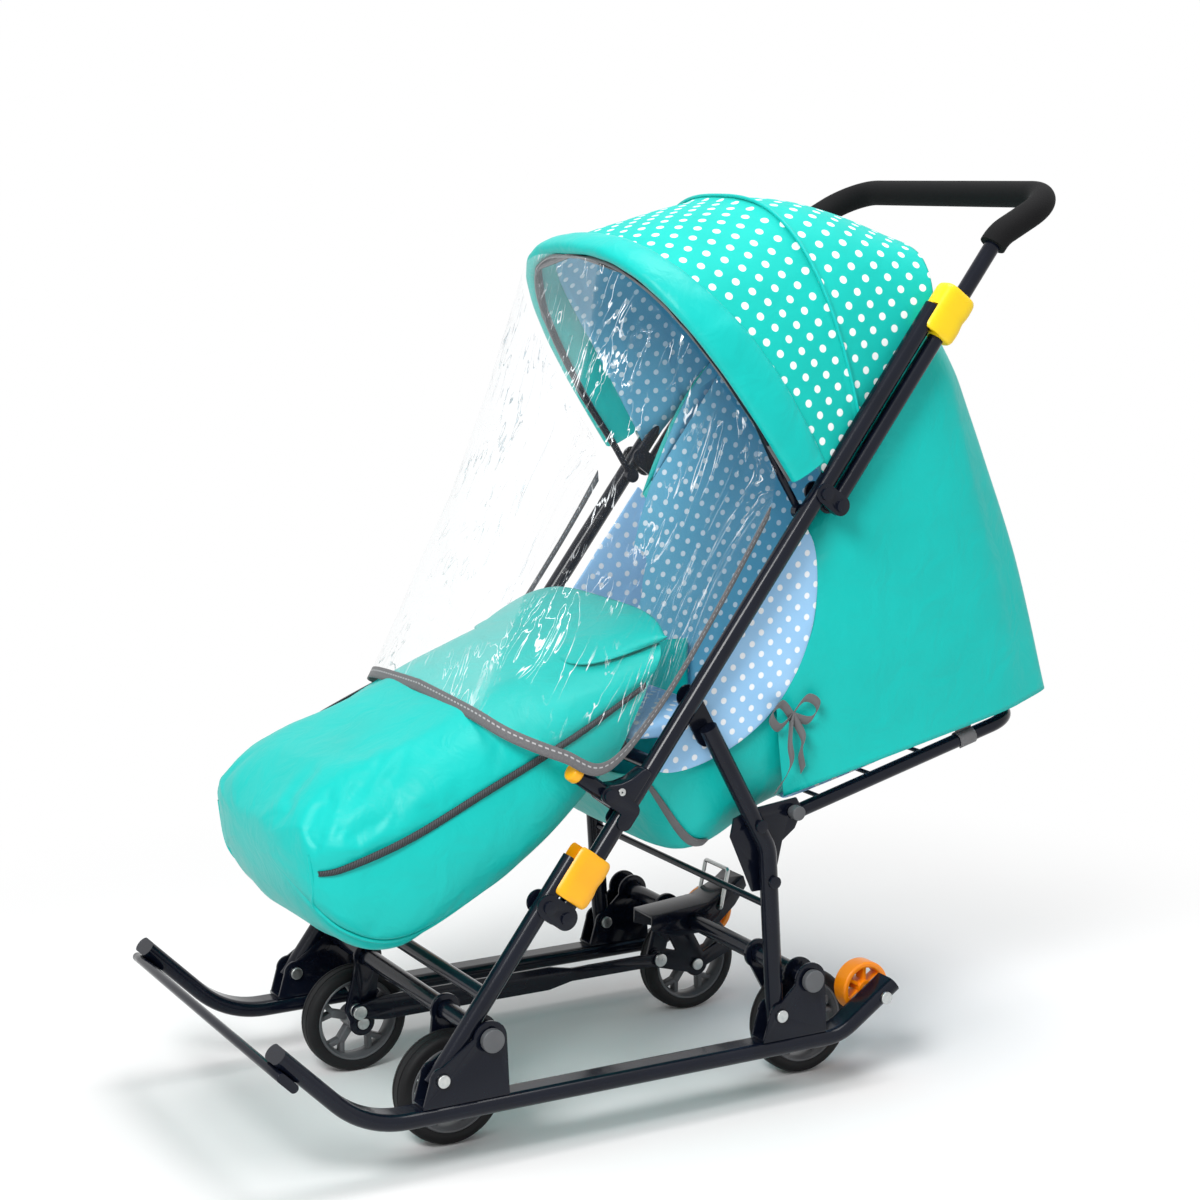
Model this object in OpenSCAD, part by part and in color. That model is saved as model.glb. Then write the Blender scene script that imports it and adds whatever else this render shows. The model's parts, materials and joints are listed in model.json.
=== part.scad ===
// Sled stroller: a folding steel seat frame on two runners, with four road wheels that lift
// out of the way, a reclining back, a folding push handle, a hood, a foot muff and a rain cover.
// X is across (the child's left is +X), Y runs from the toes (-Y) to the pusher (+Y), Z is up.
// The origin is on the ground, in the middle of the overall length and width.

/* [Runners] */
// Distance between the middles of the two runners
runner_spacing = 394; // [370:2:420]
// Width of the flat oval runner tube
runner_w = 36; // [34:1:42]
// Height of the flat oval runner tube
runner_h = 18; // [14:1:20]
// Height of the runner soles above the ground when the wheels are down
runner_lift = 57; // [50:1:62]
// Distance from the front leg bolt forward to the start of the toe bend
toe_room = 37; // [34:1:60]
// Distance from the rear leg bolt back to the end of the flat
heel_start = 62; // [58:1:75]
// Middle radius of the bend up to the toe
toe_bend_r = 110; // [90:5:130]
// Angle of the toe above the ground
toe_angle = 45; // [35:1:50]
// Straight length of the toe beyond its bend
toe_len = 84.8; // [70:0.1:90]
// Middle radius of the bend up to the heel
heel_bend_r = 60; // [50:1:80]
// Angle of the heel above the ground
heel_angle = 34; // [25:1:40]
// Straight length of the heel beyond its bend
heel_len = 68; // [62:1:80]
// Overhang of the toe bar beyond the middle of each runner
toe_bar_overhang = 20; // [16:1:30]
// Width of the toe bar
toe_bar_w = 30; // [24:1:36]
// Thickness of the toe bar
toe_bar_t = 10; // [8:1:14]
// How far the middle of the toe bar is bowed forward
toe_bar_bow = 14; // [8:1:20]

/* [Tubes] */
// Diameter of the frame tubes and legs
frame_d = 20; // [18:1:22]
// Diameter of the handle tube
handle_d = 18; // [16:1:20]
// Diameter of the axle tubes
axle_d = 20; // [18:1:22]
// Diameter of the backrest tube
back_d = 16; // [14:1:18]
// Diameter of the seat cross tube and the front leg brace
cross_d = 16; // [14:1:18]
// Diameter of the rod between the rear legs
rod_d = 8; // [6:1:10]
// Thickness of the bracket and hinge plates
plate_t = 3; // [2.5:0.5:3.5]
// Side clearance between a tube and the plate beside it
plate_gap = 0.3; // [0.2:0.05:0.4]
// Radius of the frame bolts
bolt_r = 4; // [3:0.5:4.5]
// Radial clearance of a bolt or shaft in its hole
run_gap = 0.05; // [0.03:0.01:0.08]

/* [Frame geometry] */
// Wheelbase of the legs, between the front and rear leg bolts
leg_base = 408; // [390:2:430]
// Height of the leg bolts above the runner soles
leg_bolt_z = 46; // [44:1:52]
// Slope of the front legs and the main tubes
frame_angle = 53.3; // [51:0.1:55]
// Length of a front leg from its bolt up to the level of the knee bolt
front_leg_len = 205; // [195:1:220]
// Overlap of the front leg beyond the knee bolt
leg_overlap = 56; // [52:1:64]
// Distance between a front leg and the main tube behind it
knee_offset = 25; // [23:0.5:27]
// Length of the main tube above the knee bolt
main_len = 768; // [750:1:790]
// Distance from the knee bolt up to the rear leg pivot
rear_pivot_s = 266; // [255:1:280]
// Distance of the rear leg's elbow in front of its bolt
elbow_fwd = 12; // [8:1:16]
// Height of the elbow above the rear leg bolt
elbow_up = 188; // [180:1:196]
// Distance of the rear leg tube's end short of its pivot
eye_reach = 38; // [36:1:46]

/* [Handle] */
// Distance from the knee bolt up to the handle pivot
handle_pivot_s = 526; // [515:1:540]
// Distance of the handle tube behind the main tube
handle_offset = 24; // [22:0.5:26]
// Length of the handle tube below its pivot
handle_tail = 8; // [7:1:9]
// Distance from the main tube's end up to the handle's first bend
handle_above = 112; // [108:1:125]
// How far the grip bar lies behind the first bend
grip_back = 82; // [76:1:95]
// How far the grip bar lies above the first bend
grip_up = 43; // [38:1:55]
// Bend radius of the handle
handle_bend_r = 48; // [42:1:55]
// Outside diameter of the foam grip
grip_d = 30; // [26:1:34]

/* [Wheels] */
// Diameter of a road wheel
wheel_d = 122; // [116:1:126]
// Width of a tyre
tyre_w = 28; // [24:1:30]
// Radial thickness of a tyre
tyre_t = 13; // [10:1:16]
// Distance between the middles of the left and right wheels
wheel_track = 250; // [240:2:260]
// Height of the axle tubes above the runner soles
axle_z = 81; // [78:1:86]
// Distance of the front axle tube behind the front leg bolt
front_axle_back = 54; // [54:1:60]
// Distance of the rear axle tube behind the rear leg bolt
rear_axle_back = 38; // [36:1:44]
// Distance of the front wheel centres in front of their axle tube
front_wheel_fwd = 8; // [0:1:14]
// Distance of the rear wheel centres behind their axle tube
rear_wheel_back = 42; // [36:1:46]
// Radius of a wheel's stub axle
stub_r = 5; // [4:0.5:6]
// Distance of the lift link's pins below the axle tubes
link_drop = 60; // [56:1:64]
// Distance of the lift link's pins in front of the axle tubes
link_fwd = 16; // [12:1:20]
// Diameter of the small transport wheels at the heels
tip_wheel_d = 60; // [54:1:64]
// Width of the small transport wheels
tip_wheel_w = 22; // [18:1:26]

/* [Seat] */
// Distance from the knee bolt up to the seat's cross tube
seat_s = 185; // [178:1:192]
// Gap between the backrest tube and the frame tube beside it
back_room = 14; // [12:1:24]
// Length of the backrest frame behind its pivot
back_len = 352; // [335:1:360]
// Slope of the backrest as it lies
back_angle = 14.5; // [12:0.5:17]
// Gap between the foot muff and the frame tube beside it
muff_room = 13; // [11:1:22]
// Half width of the hood at its front rim
hood_half = 200; // [190:1:206]
// Thickness of the cloth panels
cloth_t = 3; // [2:0.5:4]

/* [Hidden] */

// Curves are drawn smooth enough to see, and true surfaces don't depend on it
$fn = 48;

// Colours
steel_colour = "#141a26";
zinc_colour = "#b9bcc0";
teal_colour = "#13c2b2";
blue_colour = "#93bbea";
yellow_colour = "#ffd21f";
orange_colour = "#ff9a10";
rubber_colour = "#1c1c1f";
grey_colour = "#6d6e72";
foam_colour = "#222326";
clear_colour = [0.85, 0.9, 0.95, 0.35];

// Half width of the frame: the runners, legs, main tubes and handle tubes share this plane
half = runner_spacing / 2;
frame_r = frame_d / 2;
handle_r = handle_d / 2;
axle_r = axle_d / 2;
back_r = back_d / 2;
cross_r = cross_d / 2;
sole_mid = runner_lift + runner_h / 2;
runner_top = runner_lift + runner_h;

// Unit vectors in the side view (Y, Z): up along the main tube and square to it, forward
tube_dir = [cos(frame_angle), sin(frame_angle)];
tube_nrm = [-sin(frame_angle), cos(frame_angle)];

// Side view of the toe and the toe bar, measured from the rear leg bolt
toe_dir = [-cos(toe_angle), sin(toe_angle)];
toe_under = [-sin(toe_angle), -cos(toe_angle)];
toe_start = -leg_base - toe_room;
toe_end = [
    toe_start - toe_bend_r * sin(toe_angle) + toe_dir[0] * toe_len,
    sole_mid + toe_bend_r * (1 - cos(toe_angle)) + toe_dir[1] * toe_len
];
toe_bar_back = toe_bar_w / 2 + 6;
toe_bar_mid = toe_end - toe_dir * toe_bar_back + toe_under * (runner_h / 2 + toe_bar_t / 2);

// The curtain's lower rear edge is the rearmost point of the whole
curtain_rear = 412;
front_reach = toe_bar_mid[0] + toe_dir[0] * (toe_bar_bow + toe_bar_w / 2 - toe_bar_t / 2)
    - toe_bar_t / 2;
// Place of the rear leg bolt along Y, so that the whole is centred
y0 = -(front_reach + curtain_rear) / 2;

// Joint points in the side view, as [Y, Z]
rear_bolt = [y0, runner_lift + leg_bolt_z];
front_bolt = [y0 - leg_base, runner_lift + leg_bolt_z];
knee = front_bolt + tube_dir * front_leg_len - tube_nrm * knee_offset;
front_axle = [front_bolt[0] + front_axle_back, runner_lift + axle_z];
rear_axle = [rear_bolt[0] + rear_axle_back, runner_lift + axle_z];
front_hub = [front_axle[0] - front_wheel_fwd, wheel_d / 2];
rear_hub = [rear_axle[0] + rear_wheel_back, wheel_d / 2];
elbow = rear_bolt + [-elbow_fwd, elbow_up];
function main_at(s, off = 0) = knee + tube_dir * s + tube_nrm * off;
rear_pivot = main_at(rear_pivot_s);
handle_pivot = main_at(handle_pivot_s, -handle_offset);
seat_axis = main_at(seat_s);
heel_end = [
    y0 + heel_start + heel_bend_r * sin(heel_angle) + heel_len * cos(heel_angle),
    sole_mid + heel_bend_r * (1 - cos(heel_angle)) + heel_len * sin(heel_angle)
];
tip_back = 20;
tip_axis = heel_end - [cos(heel_angle), sin(heel_angle)] * tip_back;

// Backrest pivot, on the recline plate beside the rear leg's elbow
back_pivot = elbow + [22, 16];
recline_pin_at = back_pivot + [16, 18];
back_dir = [cos(back_angle), sin(back_angle)];
back_half = half - frame_r - back_room - back_r;
muff_half = half - frame_r - muff_room;

// Plate planes beside the frame tubes
inner_plate = half - frame_r - plate_gap - plate_t;
outer_plate = half + frame_r + plate_gap;

// Helpers: a point in 3-D from X and a side view point, and a unit vector
function at(x, p) = [x, p[0], p[1]];
function unit(v) = v / norm(v);
function turn(a, b) = acos(max(-1, min(1, a * b)));
function any_square(d) = unit(cross(d, abs(d.x) > 0.9 ? [0, 0, 1] : [1, 0, 0]));

module place(o, x, y, z) {
    multmatrix([
        [x.x, y.x, z.x, o.x],
        [x.y, y.y, z.y, o.y],
        [x.z, y.z, z.z, o.z],
        [0, 0, 0, 1]
    ]) children();
}

// A tube along straight runs with bends between them, of one radius or a list of them. The
// child is its section: the first axis lies in the bend's plane, the second along its normal.
module bent(pts, bend_r, side = undef) {
    n = len(pts);
    dirs = [for (i = [0 : n - 2]) unit(pts[i + 1] - pts[i])];
    function r_at(i) = is_list(bend_r) ? bend_r[i - 1] : bend_r;
    cuts = [for (i = [0 : n - 1])
        (i == 0 || i == n - 1) ? 0 : r_at(i) * tan(turn(dirs[i - 1], dirs[i]) / 2)];
    // Runs reach a little into the bends, which are drawn a hair thinner, so that they join
    laps = [for (i = [0 : n - 1])
        (i == 0 || i == n - 1) ? 0 : min(0.5, 0.02 * r_at(i))];
    thin = 0.998;
    for (i = [0 : n - 2]) {
        second = is_undef(side) ? any_square(dirs[i]) : side;
        run = norm(pts[i + 1] - pts[i]) - cuts[i] - cuts[i + 1] + laps[i] + laps[i + 1];
        place(pts[i] + dirs[i] * (cuts[i] - laps[i]), cross(second, dirs[i]), second, dirs[i])
            linear_extrude(run) children();
    }
    for (i = [1 : 1 : n - 2]) {
        before = dirs[i - 1];
        inward = unit(dirs[i] - before * (before * dirs[i]));
        centre = pts[i] - before * cuts[i] + inward * r_at(i);
        place(centre, -inward, before, cross(-inward, before))
            rotate_extrude(angle = turn(before, dirs[i])) translate([r_at(i), 0])
                scale(thin) children();
    }
}

// A round bar from one point to another
module bar(a, b, r) {
    d = unit(b - a);
    s = any_square(d);
    place(a, cross(s, d), s, d) cylinder(r = r, h = norm(b - a));
}

// A round bar along X at a side view point
module cross_bar(p, x0, x1, r) {
    translate([min(x0, x1), p[0], p[1]]) rotate([0, 90, 0]) cylinder(r = r, h = abs(x1 - x0));
}

// A plate of a side view outline (children draw it in Y, Z), from x0 to x0 + t
module side_plate(x0, t) {
    translate([x0, 0, 0]) rotate([90, 0, 90]) linear_extrude(t) children();
}

// A side view capsule from point a to point b
module capsule(a, b, r) {
    d = unit(b - a);
    s = [-d[1], d[0]] * r * 0.996;
    translate(a) circle(r = r);
    translate(b) circle(r = r);
    polygon([a + s, b + s, b - s, a - s]);
}

module oval(in_plane, across) {
    flat = across / 2 - in_plane / 2;
    for (k = [-1, 1]) translate([0, k * flat]) circle(d = in_plane);
    square([in_plane * 0.996, 2 * flat], center = true);
}

module round_rect(w, h, r) {
    square([w - 2 * r, h], center = true);
    square([w, h - 2 * r], center = true);
    for (i = [-1, 1], j = [-1, 1]) translate([i * (w / 2 - r), j * (h / 2 - r)]) circle(r = r);
}

// The same thing on both sides
module both() {
    children();
    mirror([1, 0, 0]) children();
}

// A closed sheet over a grid of points (rows of equal length), t thick, grown towards the
// side that the grid's rows and columns turn to by the right hand rule.
function cell(g, i, j) = g[max(0, min(len(g) - 1, i))][max(0, min(len(g[0]) - 1, j))];
function grid_normal(g, i, j) = unit(cross(
    cell(g, i + 1, j) - cell(g, i - 1, j),
    cell(g, i, j + 1) - cell(g, i, j - 1)
));
module sheet(g, t) {
    rows = len(g);
    cols = len(g[0]);
    face = rows * cols;
    outer = [for (i = [0 : rows - 1], j = [0 : cols - 1]) g[i][j] + t * grid_normal(g, i, j)];
    inner = [for (i = [0 : rows - 1], j = [0 : cols - 1]) g[i][j]];
    function id(i, j) = i * cols + j;
    top = [for (i = [0 : rows - 2], j = [0 : cols - 2]) each [
        [id(i, j), id(i, j + 1), id(i + 1, j)],
        [id(i + 1, j), id(i, j + 1), id(i + 1, j + 1)]
    ]];
    bottom = [for (f = top) [face + f[0], face + f[2], face + f[1]]];
    ring = concat(
        [for (j = [0 : cols - 1]) id(0, j)],
        [for (i = [1 : rows - 1]) id(i, cols - 1)],
        [for (j = [cols - 2 : -1 : 0]) id(rows - 1, j)],
        [for (i = [rows - 2 : -1 : 1]) id(i, 0)]
    );
    m = len(ring);
    rim = [for (k = [0 : m - 1]) each [
        [ring[k], face + ring[k], ring[(k + 1) % m]],
        [ring[(k + 1) % m], face + ring[k], face + ring[(k + 1) % m]]
    ]];
    polyhedron(concat(outer, inner), concat(top, bottom, rim));
}

// A closed skin through rings of equal length, with flat ends
module skin(rings) {
    n = len(rings);
    m = len(rings[0]);
    pts = [for (r = rings) each r];
    sides = [for (i = [0 : n - 2], j = [0 : m - 1]) each [
        [i * m + j, i * m + (j + 1) % m, (i + 1) * m + j],
        [(i + 1) * m + j, i * m + (j + 1) % m, (i + 1) * m + (j + 1) % m]
    ]];
    first = [[for (j = [m - 1 : -1 : 0]) j]];
    last = [[for (j = [0 : m - 1]) (n - 1) * m + j]];
    polyhedron(pts, concat(sides, first, last));
}

// Value at t along a list of evenly spaced keys, on a smooth curve through them
function key(k, i) = k[max(0, min(len(k) - 1, i))];
function through(k, t) =
    let (
        u = max(0, min(1, t)) * (len(k) - 1),
        i = min(len(k) - 2, floor(u)),
        f = u - i,
        a = key(k, i - 1), b = key(k, i), c = key(k, i + 1), d = key(k, i + 2)
    )
    b + 0.5 * f * ((c - a) + f * ((2 * a - 5 * b + 4 * c - d) + f * (3 * (b - c) + d - a)));

// Power of a value that keeps its sign
function soft(v, e) = sign(v) * pow(abs(v), e);

// Sizes of small things, each used by the pieces that meet there
head_h = 4;
head_r = 7;
leg_tail = 9;
stub_head_r = 7;
hub_w = 30;
fork_t = 5;
fork_x = wheel_track / 2 - hub_w / 2 - 2 * fork_t;
link_t = 5;
link_x = fork_x - 2 * link_t;
link_r = 8;
front_pin = front_axle + [-link_fwd, -link_drop];
rear_pin = rear_axle + [-link_fwd, -link_drop];
pedal_w = 44;
pedal_x = -link_x + 10;
wire_r = 2.5;
bail_pin = rear_axle + [34, 12];
bail_top = bail_pin + [10, 46];
tip_x1 = half - runner_w / 2 - 1;
tip_x0 = tip_x1 - tip_wheel_w;
stub_s = 130;
stub_r_out = 9;
stub_len = 70;
hood_hinge_s = 500;
hood_hinge = main_at(hood_hinge_s);
hood_pin_r = 4;
bow_r = 4;
latch_len = 56;
latch_wall = 5;
slide_gap = 0.1;

// A bolt along X from x0 to x1 with a head at each end, outside that span
module bolt(p, x0, x1, r = bolt_r, head = head_r) {
    cross_bar(p, x0 - head_h, x1 + head_h, r);
    cross_bar(p, x0 - head_h, x0, head);
    cross_bar(p, x1, x1 + head_h, head);
}

// Runners: flat oval tube, turned up long at the toe and short at the heel

module runner() {
    toe_corner = y0 + toe_start - toe_bend_r * tan(toe_angle / 2);
    heel_corner = y0 + heel_start + heel_bend_r * tan(heel_angle / 2);
    difference() {
        bent([
            at(half, [y0 + toe_end[0], toe_end[1]]),
            [half, toe_corner, sole_mid],
            [half, heel_corner, sole_mid],
            at(half, heel_end)
        ], [toe_bend_r, heel_bend_r], [1, 0, 0]) oval(runner_h, runner_w);
        cross_bar(tip_axis, half - runner_w, half + runner_w, bolt_r + run_gap);
    }
}

module runner_left() color(steel_colour) runner();
module runner_right() color(steel_colour) mirror([1, 0, 0]) runner();

// Toe bar: a bowed flat bar under both toes, with a slot for a tow rope in its middle
module toe_bar() {
    reach = half + toe_bar_overhang;
    bow_radius = (reach * reach + toe_bar_bow * toe_bar_bow) / (2 * toe_bar_bow);
    sweep = asin(reach / bow_radius);
    apex = toe_bar_mid + toe_dir * toe_bar_bow;
    slot_w = 8;
    slot_len = 26;
    color(steel_colour)
    place(at(0, [y0, 0] + apex) - at(0, toe_dir) * bow_radius, at(0, toe_dir), [1, 0, 0],
        cross(at(0, toe_dir), [1, 0, 0]))
    difference() {
        rotate([0, 0, -sweep]) rotate_extrude(angle = 2 * sweep, $fn = 1440) translate([bow_radius, 0])
            rotate(90) oval(toe_bar_t, toe_bar_w);
        translate([bow_radius, 0, -toe_bar_t]) linear_extrude(2 * toe_bar_t)
            oval(slot_w, slot_len);
    }
}

// Runner brackets: two cheeks and a base, which carry a leg's bolt and an axle tube's bearing
module bracket(leg, axle) {
    foot = 22;
    crown_r = axle_r + 9;
    ear_r = 14;
    y_front = leg[0] - foot;
    y_back = axle[0] + foot;
    difference() {
        union() {
            for (x = [inner_plate, outer_plate]) side_plate(x, plate_t) {
                translate(axle) circle(r = crown_r);
                translate(leg) circle(r = ear_r);
                polygon([
                    [y_front, runner_top], [y_back, runner_top], [axle[0] + crown_r, axle[1]],
                    axle + [0, crown_r * 0.8], leg + [0, ear_r], leg - [ear_r, 0]
                ]);
            }
            translate([inner_plate, y_front, runner_top])
                cube([outer_plate - inner_plate + plate_t, y_back - y_front, plate_t]);
        }
        cross_bar(leg, inner_plate - 1, outer_plate + plate_t + 1, bolt_r + run_gap);
        cross_bar(axle, inner_plate - 1, outer_plate + plate_t + 1, axle_r + run_gap);
    }
}

module front_brackets() color(steel_colour) both() bracket(front_bolt, front_axle);
module rear_brackets() color(steel_colour) both() bracket(rear_bolt, rear_axle);

module chassis_bolts() {
    color(zinc_colour) both() {
        for (p = [front_bolt, rear_bolt]) bolt(p, inner_plate, outer_plate + plate_t);
        bolt(tip_axis, tip_x0 - 0.3, half + runner_w / 2);
    }
}

// Axles: a tube that turns in the brackets, a plate each side with a wheel's stub on it
axle_end = outer_plate + plate_t + 1;

module axle_tube(axle) color(steel_colour) cross_bar(axle, -axle_end, axle_end, axle_r);

module axle_caps(axle) {
    color(grey_colour) both() cross_bar(axle, axle_end, axle_end + 8, axle_r + 2.5);
}

module fork_plate(axle, hub, pin, heel) {
    difference() {
        side_plate(fork_x, fork_t) {
            capsule(axle, hub, 15);
            translate(axle) circle(r = axle_r + 7);
            if (!is_undef(pin)) {
                capsule(axle, pin, 12);
                capsule(pin, hub, 12);
            }
            if (heel > 0) capsule(hub, hub + [heel, 18], 9);
        }
        cross_bar(axle, fork_x - 1, fork_x + fork_t + 1, axle_r + run_gap);
        cross_bar(hub, fork_x - 1, fork_x + fork_t + 1, stub_r + run_gap);
        if (!is_undef(pin)) cross_bar(pin, fork_x - 1, fork_x + fork_t + 1, stub_r + run_gap);
    }
}

// Stub axle of a wheel: a head inside the plate, a collar that spaces the hub, a head outside
module stub_bolt(hub) {
    outside = wheel_track / 2 + hub_w / 2 + 0.3;
    cross_bar(hub, fork_x - head_h, outside + head_h, stub_r);
    cross_bar(hub, fork_x - head_h, fork_x, stub_head_r);
    cross_bar(hub, fork_x + fork_t, fork_x + 2 * fork_t - 0.3, stub_head_r + 1);
    cross_bar(hub, outside, outside + head_h, stub_head_r + 1);
}

// Pin of the lift link, on the right hand plate only
module link_pin(pin) {
    mirror([1, 0, 0]) {
        cross_bar(pin, link_x - 0.3 - head_h, fork_x + fork_t + head_h - 1, stub_r);
        cross_bar(pin, link_x - 0.3 - head_h, link_x - 0.3, stub_head_r + 1);
        cross_bar(pin, link_x + link_t + 0.3, fork_x, stub_head_r + 1);
        cross_bar(pin, fork_x + fork_t, fork_x + fork_t + head_h - 1, stub_head_r + 1);
    }
}

module front_axle_tube() axle_tube(front_axle);
module rear_axle_tube() axle_tube(rear_axle);
module front_axle_caps() axle_caps(front_axle);
module rear_axle_caps() axle_caps(rear_axle);

module front_fork_plates() color(steel_colour) {
    fork_plate(front_axle, front_hub, undef, 0);
    mirror([1, 0, 0]) fork_plate(front_axle, front_hub, front_pin, 0);
}

module rear_fork_plates() color(steel_colour) {
    fork_plate(rear_axle, rear_hub, undef, 44);
    mirror([1, 0, 0]) fork_plate(rear_axle, rear_hub, rear_pin, 44);
}

module front_stub_bolts() color(zinc_colour) {
    both() stub_bolt(front_hub);
    link_pin(front_pin);
}

module rear_stub_bolts() color(zinc_colour) {
    both() stub_bolt(rear_hub);
    link_pin(rear_pin);
}

// Lift pedal: a folded channel on the rear axle tube, with a raised heel to step on
module lift_pedal() {
    top = [[-58, 14], [20, 20], [52, 34], [68, 46]];
    low = [[72, 34], [56, 12], [24, -15], [-22, -15], [-58, -4]];
    color(steel_colour) difference() {
        union() {
            for (x = [pedal_x, pedal_x + pedal_w - plate_t]) side_plate(x, plate_t)
                translate(rear_axle) polygon(concat(top, low));
            side_plate(pedal_x, pedal_w) translate(rear_axle)
                polygon(concat(top, [for (i = [3 : -1 : 0]) top[i] - [0, plate_t]]));
        }
        cross_bar(rear_axle, pedal_x - 1, pedal_x + pedal_w + 1, axle_r + run_gap);
        cross_bar(bail_pin, pedal_x - 1, pedal_x + pedal_w + 1, wire_r + run_gap);
    }
}

// Lock bail: a bent wire hooked into both cheeks of the pedal
module lock_bail() {
    x0 = pedal_x - wire_r - 1;
    x1 = pedal_x + pedal_w + wire_r + 1;
    color(zinc_colour) bent([
        at(pedal_x + plate_t, bail_pin), at(x0, bail_pin), at(x0, bail_top),
        at(x1, bail_top), at(x1, bail_pin), at(pedal_x + pedal_w - plate_t, bail_pin)
    ], wire_r + 0.5) circle(r = wire_r);
}

// Lift link: a flat bar that turns both axles together, deep in front and slim beside the pedal
module lift_link() {
    span = rear_pin[0] - front_pin[0];
    slim_len = 120;
    deep_end = span - slim_len;
    link_edge = link_r * 0.99;
    link_deep = 14;
    color(steel_colour) difference() {
        union() {
            for (p = [front_pin, rear_pin]) cross_bar(p, -link_x - link_t, -link_x, link_r);
            side_plate(-link_x - link_t, link_t) translate(front_pin) polygon([
                [0, -link_edge], [30, -link_deep], [deep_end - 30, -link_deep], [deep_end, -link_edge],
                [span, -link_edge], [span, link_edge], [deep_end, link_edge],
                [deep_end - 30, link_deep], [30, link_deep], [0, link_edge]
            ]);
        }
        for (p = [front_pin, rear_pin])
            cross_bar(p, -link_x - link_t - 1, -link_x + 1, stub_r + run_gap);
    }
}

// Road wheels: a rubber tyre on a moulded rim with five forked spokes
rim_r = wheel_d / 2 - tyre_t - run_gap;

module at_wheel(left, hub) {
    translate(at((left ? 1 : -1) * wheel_track / 2, hub)) rotate([0, 90, 0]) children();
}

module tyre(left, hub) {
    color(rubber_colour) at_wheel(left, hub) rotate_extrude()
        translate([wheel_d / 2 - tyre_t / 2, 0]) round_rect(tyre_t, tyre_w, 5);
}

module rim(left, hub) {
    band = 6;
    hub_r = 13;
    spoke_w = 6;
    spoke_t = 9;
    fork_half = 16;
    color(grey_colour) at_wheel(left, hub) difference() {
        union() {
            rotate_extrude() translate([rim_r - band / 2, 0]) square([band, tyre_w - 4], center = true);
            cylinder(r = hub_r, h = hub_w, center = true);
            for (k = [0 : 4], side = [-1, 1]) rotate(72 * k + side * fork_half)
                translate([hub_r / 2, -spoke_w / 2, -spoke_t / 2])
                    cube([rim_r - band / 2 - hub_r / 2, spoke_w, spoke_t]);
        }
        cylinder(r = stub_r + run_gap, h = hub_w + 2, center = true);
    }
}

module tyre_front_left() tyre(true, front_hub);
module tyre_front_right() tyre(false, front_hub);
module tyre_rear_left() tyre(true, rear_hub);
module tyre_rear_right() tyre(false, rear_hub);
module rim_front_left() rim(true, front_hub);
module rim_front_right() rim(false, front_hub);
module rim_rear_left() rim(true, rear_hub);
module rim_rear_right() rim(false, rear_hub);

// Transport wheels: small spoked rollers inside the heels, for pulling it tipped back
module tip_wheel() {
    band = 7;
    hub_r = 9;
    color(orange_colour) translate(at((tip_x0 + tip_x1) / 2, tip_axis)) rotate([0, 90, 0])
    difference() {
        union() {
            rotate_extrude() translate([tip_wheel_d / 2 - band / 2, 0]) round_rect(band, tip_wheel_w, 2.5);
            cylinder(r = hub_r, h = tip_wheel_w, center = true);
            for (k = [0 : 5]) rotate(60 * k) translate([hub_r / 2, -2, -tip_wheel_w / 3])
                cube([tip_wheel_d / 2 - band / 2 - hub_r / 2, 4, tip_wheel_w / 1.5]);
        }
        cylinder(r = bolt_r + run_gap, h = tip_wheel_w + 2, center = true);
    }
}

module tip_wheel_left() tip_wheel();
module tip_wheel_right() mirror([1, 0, 0]) tip_wheel();

// Front legs: tubes that turn on the front brackets and overlap the main tubes at the knee
leg_knee = front_bolt + tube_dir * front_leg_len;
brace_at = front_bolt + tube_dir * 95;

module front_leg() {
    color(steel_colour) difference() {
        bar(at(half, front_bolt - tube_dir * leg_tail), at(half, leg_knee + tube_dir * leg_overlap), frame_r);
        for (p = [front_bolt, leg_knee])
            cross_bar(p, half - frame_d, half + frame_d, bolt_r + run_gap);
    }
}

module front_leg_left() front_leg();
module front_leg_right() mirror([1, 0, 0]) front_leg();

module front_brace() {
    color(steel_colour) difference() {
        cross_bar(brace_at, -half, half, cross_r);
        both() bar(at(half, front_bolt), at(half, leg_knee), frame_r + run_gap);
    }
}

module knee_plates() {
    color(steel_colour) both() for (x = [inner_plate, outer_plate]) difference() {
        side_plate(x, plate_t) capsule(leg_knee, knee, 13);
        for (p = [leg_knee, knee]) cross_bar(p, x - 1, x + plate_t + 1, bolt_r + run_gap);
    }
    color(zinc_colour) both() for (p = [leg_knee, knee]) bolt(p, inner_plate, outer_plate + plate_t);
}

// Upper frame: two main tubes from the knees to the handle, joined across under the seat
module main_tube() {
    color(steel_colour) difference() {
        union() {
            bar(at(half, knee - tube_dir * 8), at(half, main_at(main_len)), frame_r);
            cross_bar(hood_hinge, half - frame_r - 11, half, hood_pin_r);
        }
        for (p = [knee, main_at(handle_pivot_s)])
            cross_bar(p, half - frame_d, half + frame_d, bolt_r + run_gap);
    }
}

module main_tube_left() main_tube();
module main_tube_right() mirror([1, 0, 0]) main_tube();

module seat_tube() {
    color(steel_colour) difference() {
        cross_bar(seat_axis, -half, half, cross_r);
        both() bar(at(half, knee), at(half, main_at(main_len)), frame_r + run_gap);
    }
}

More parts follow.
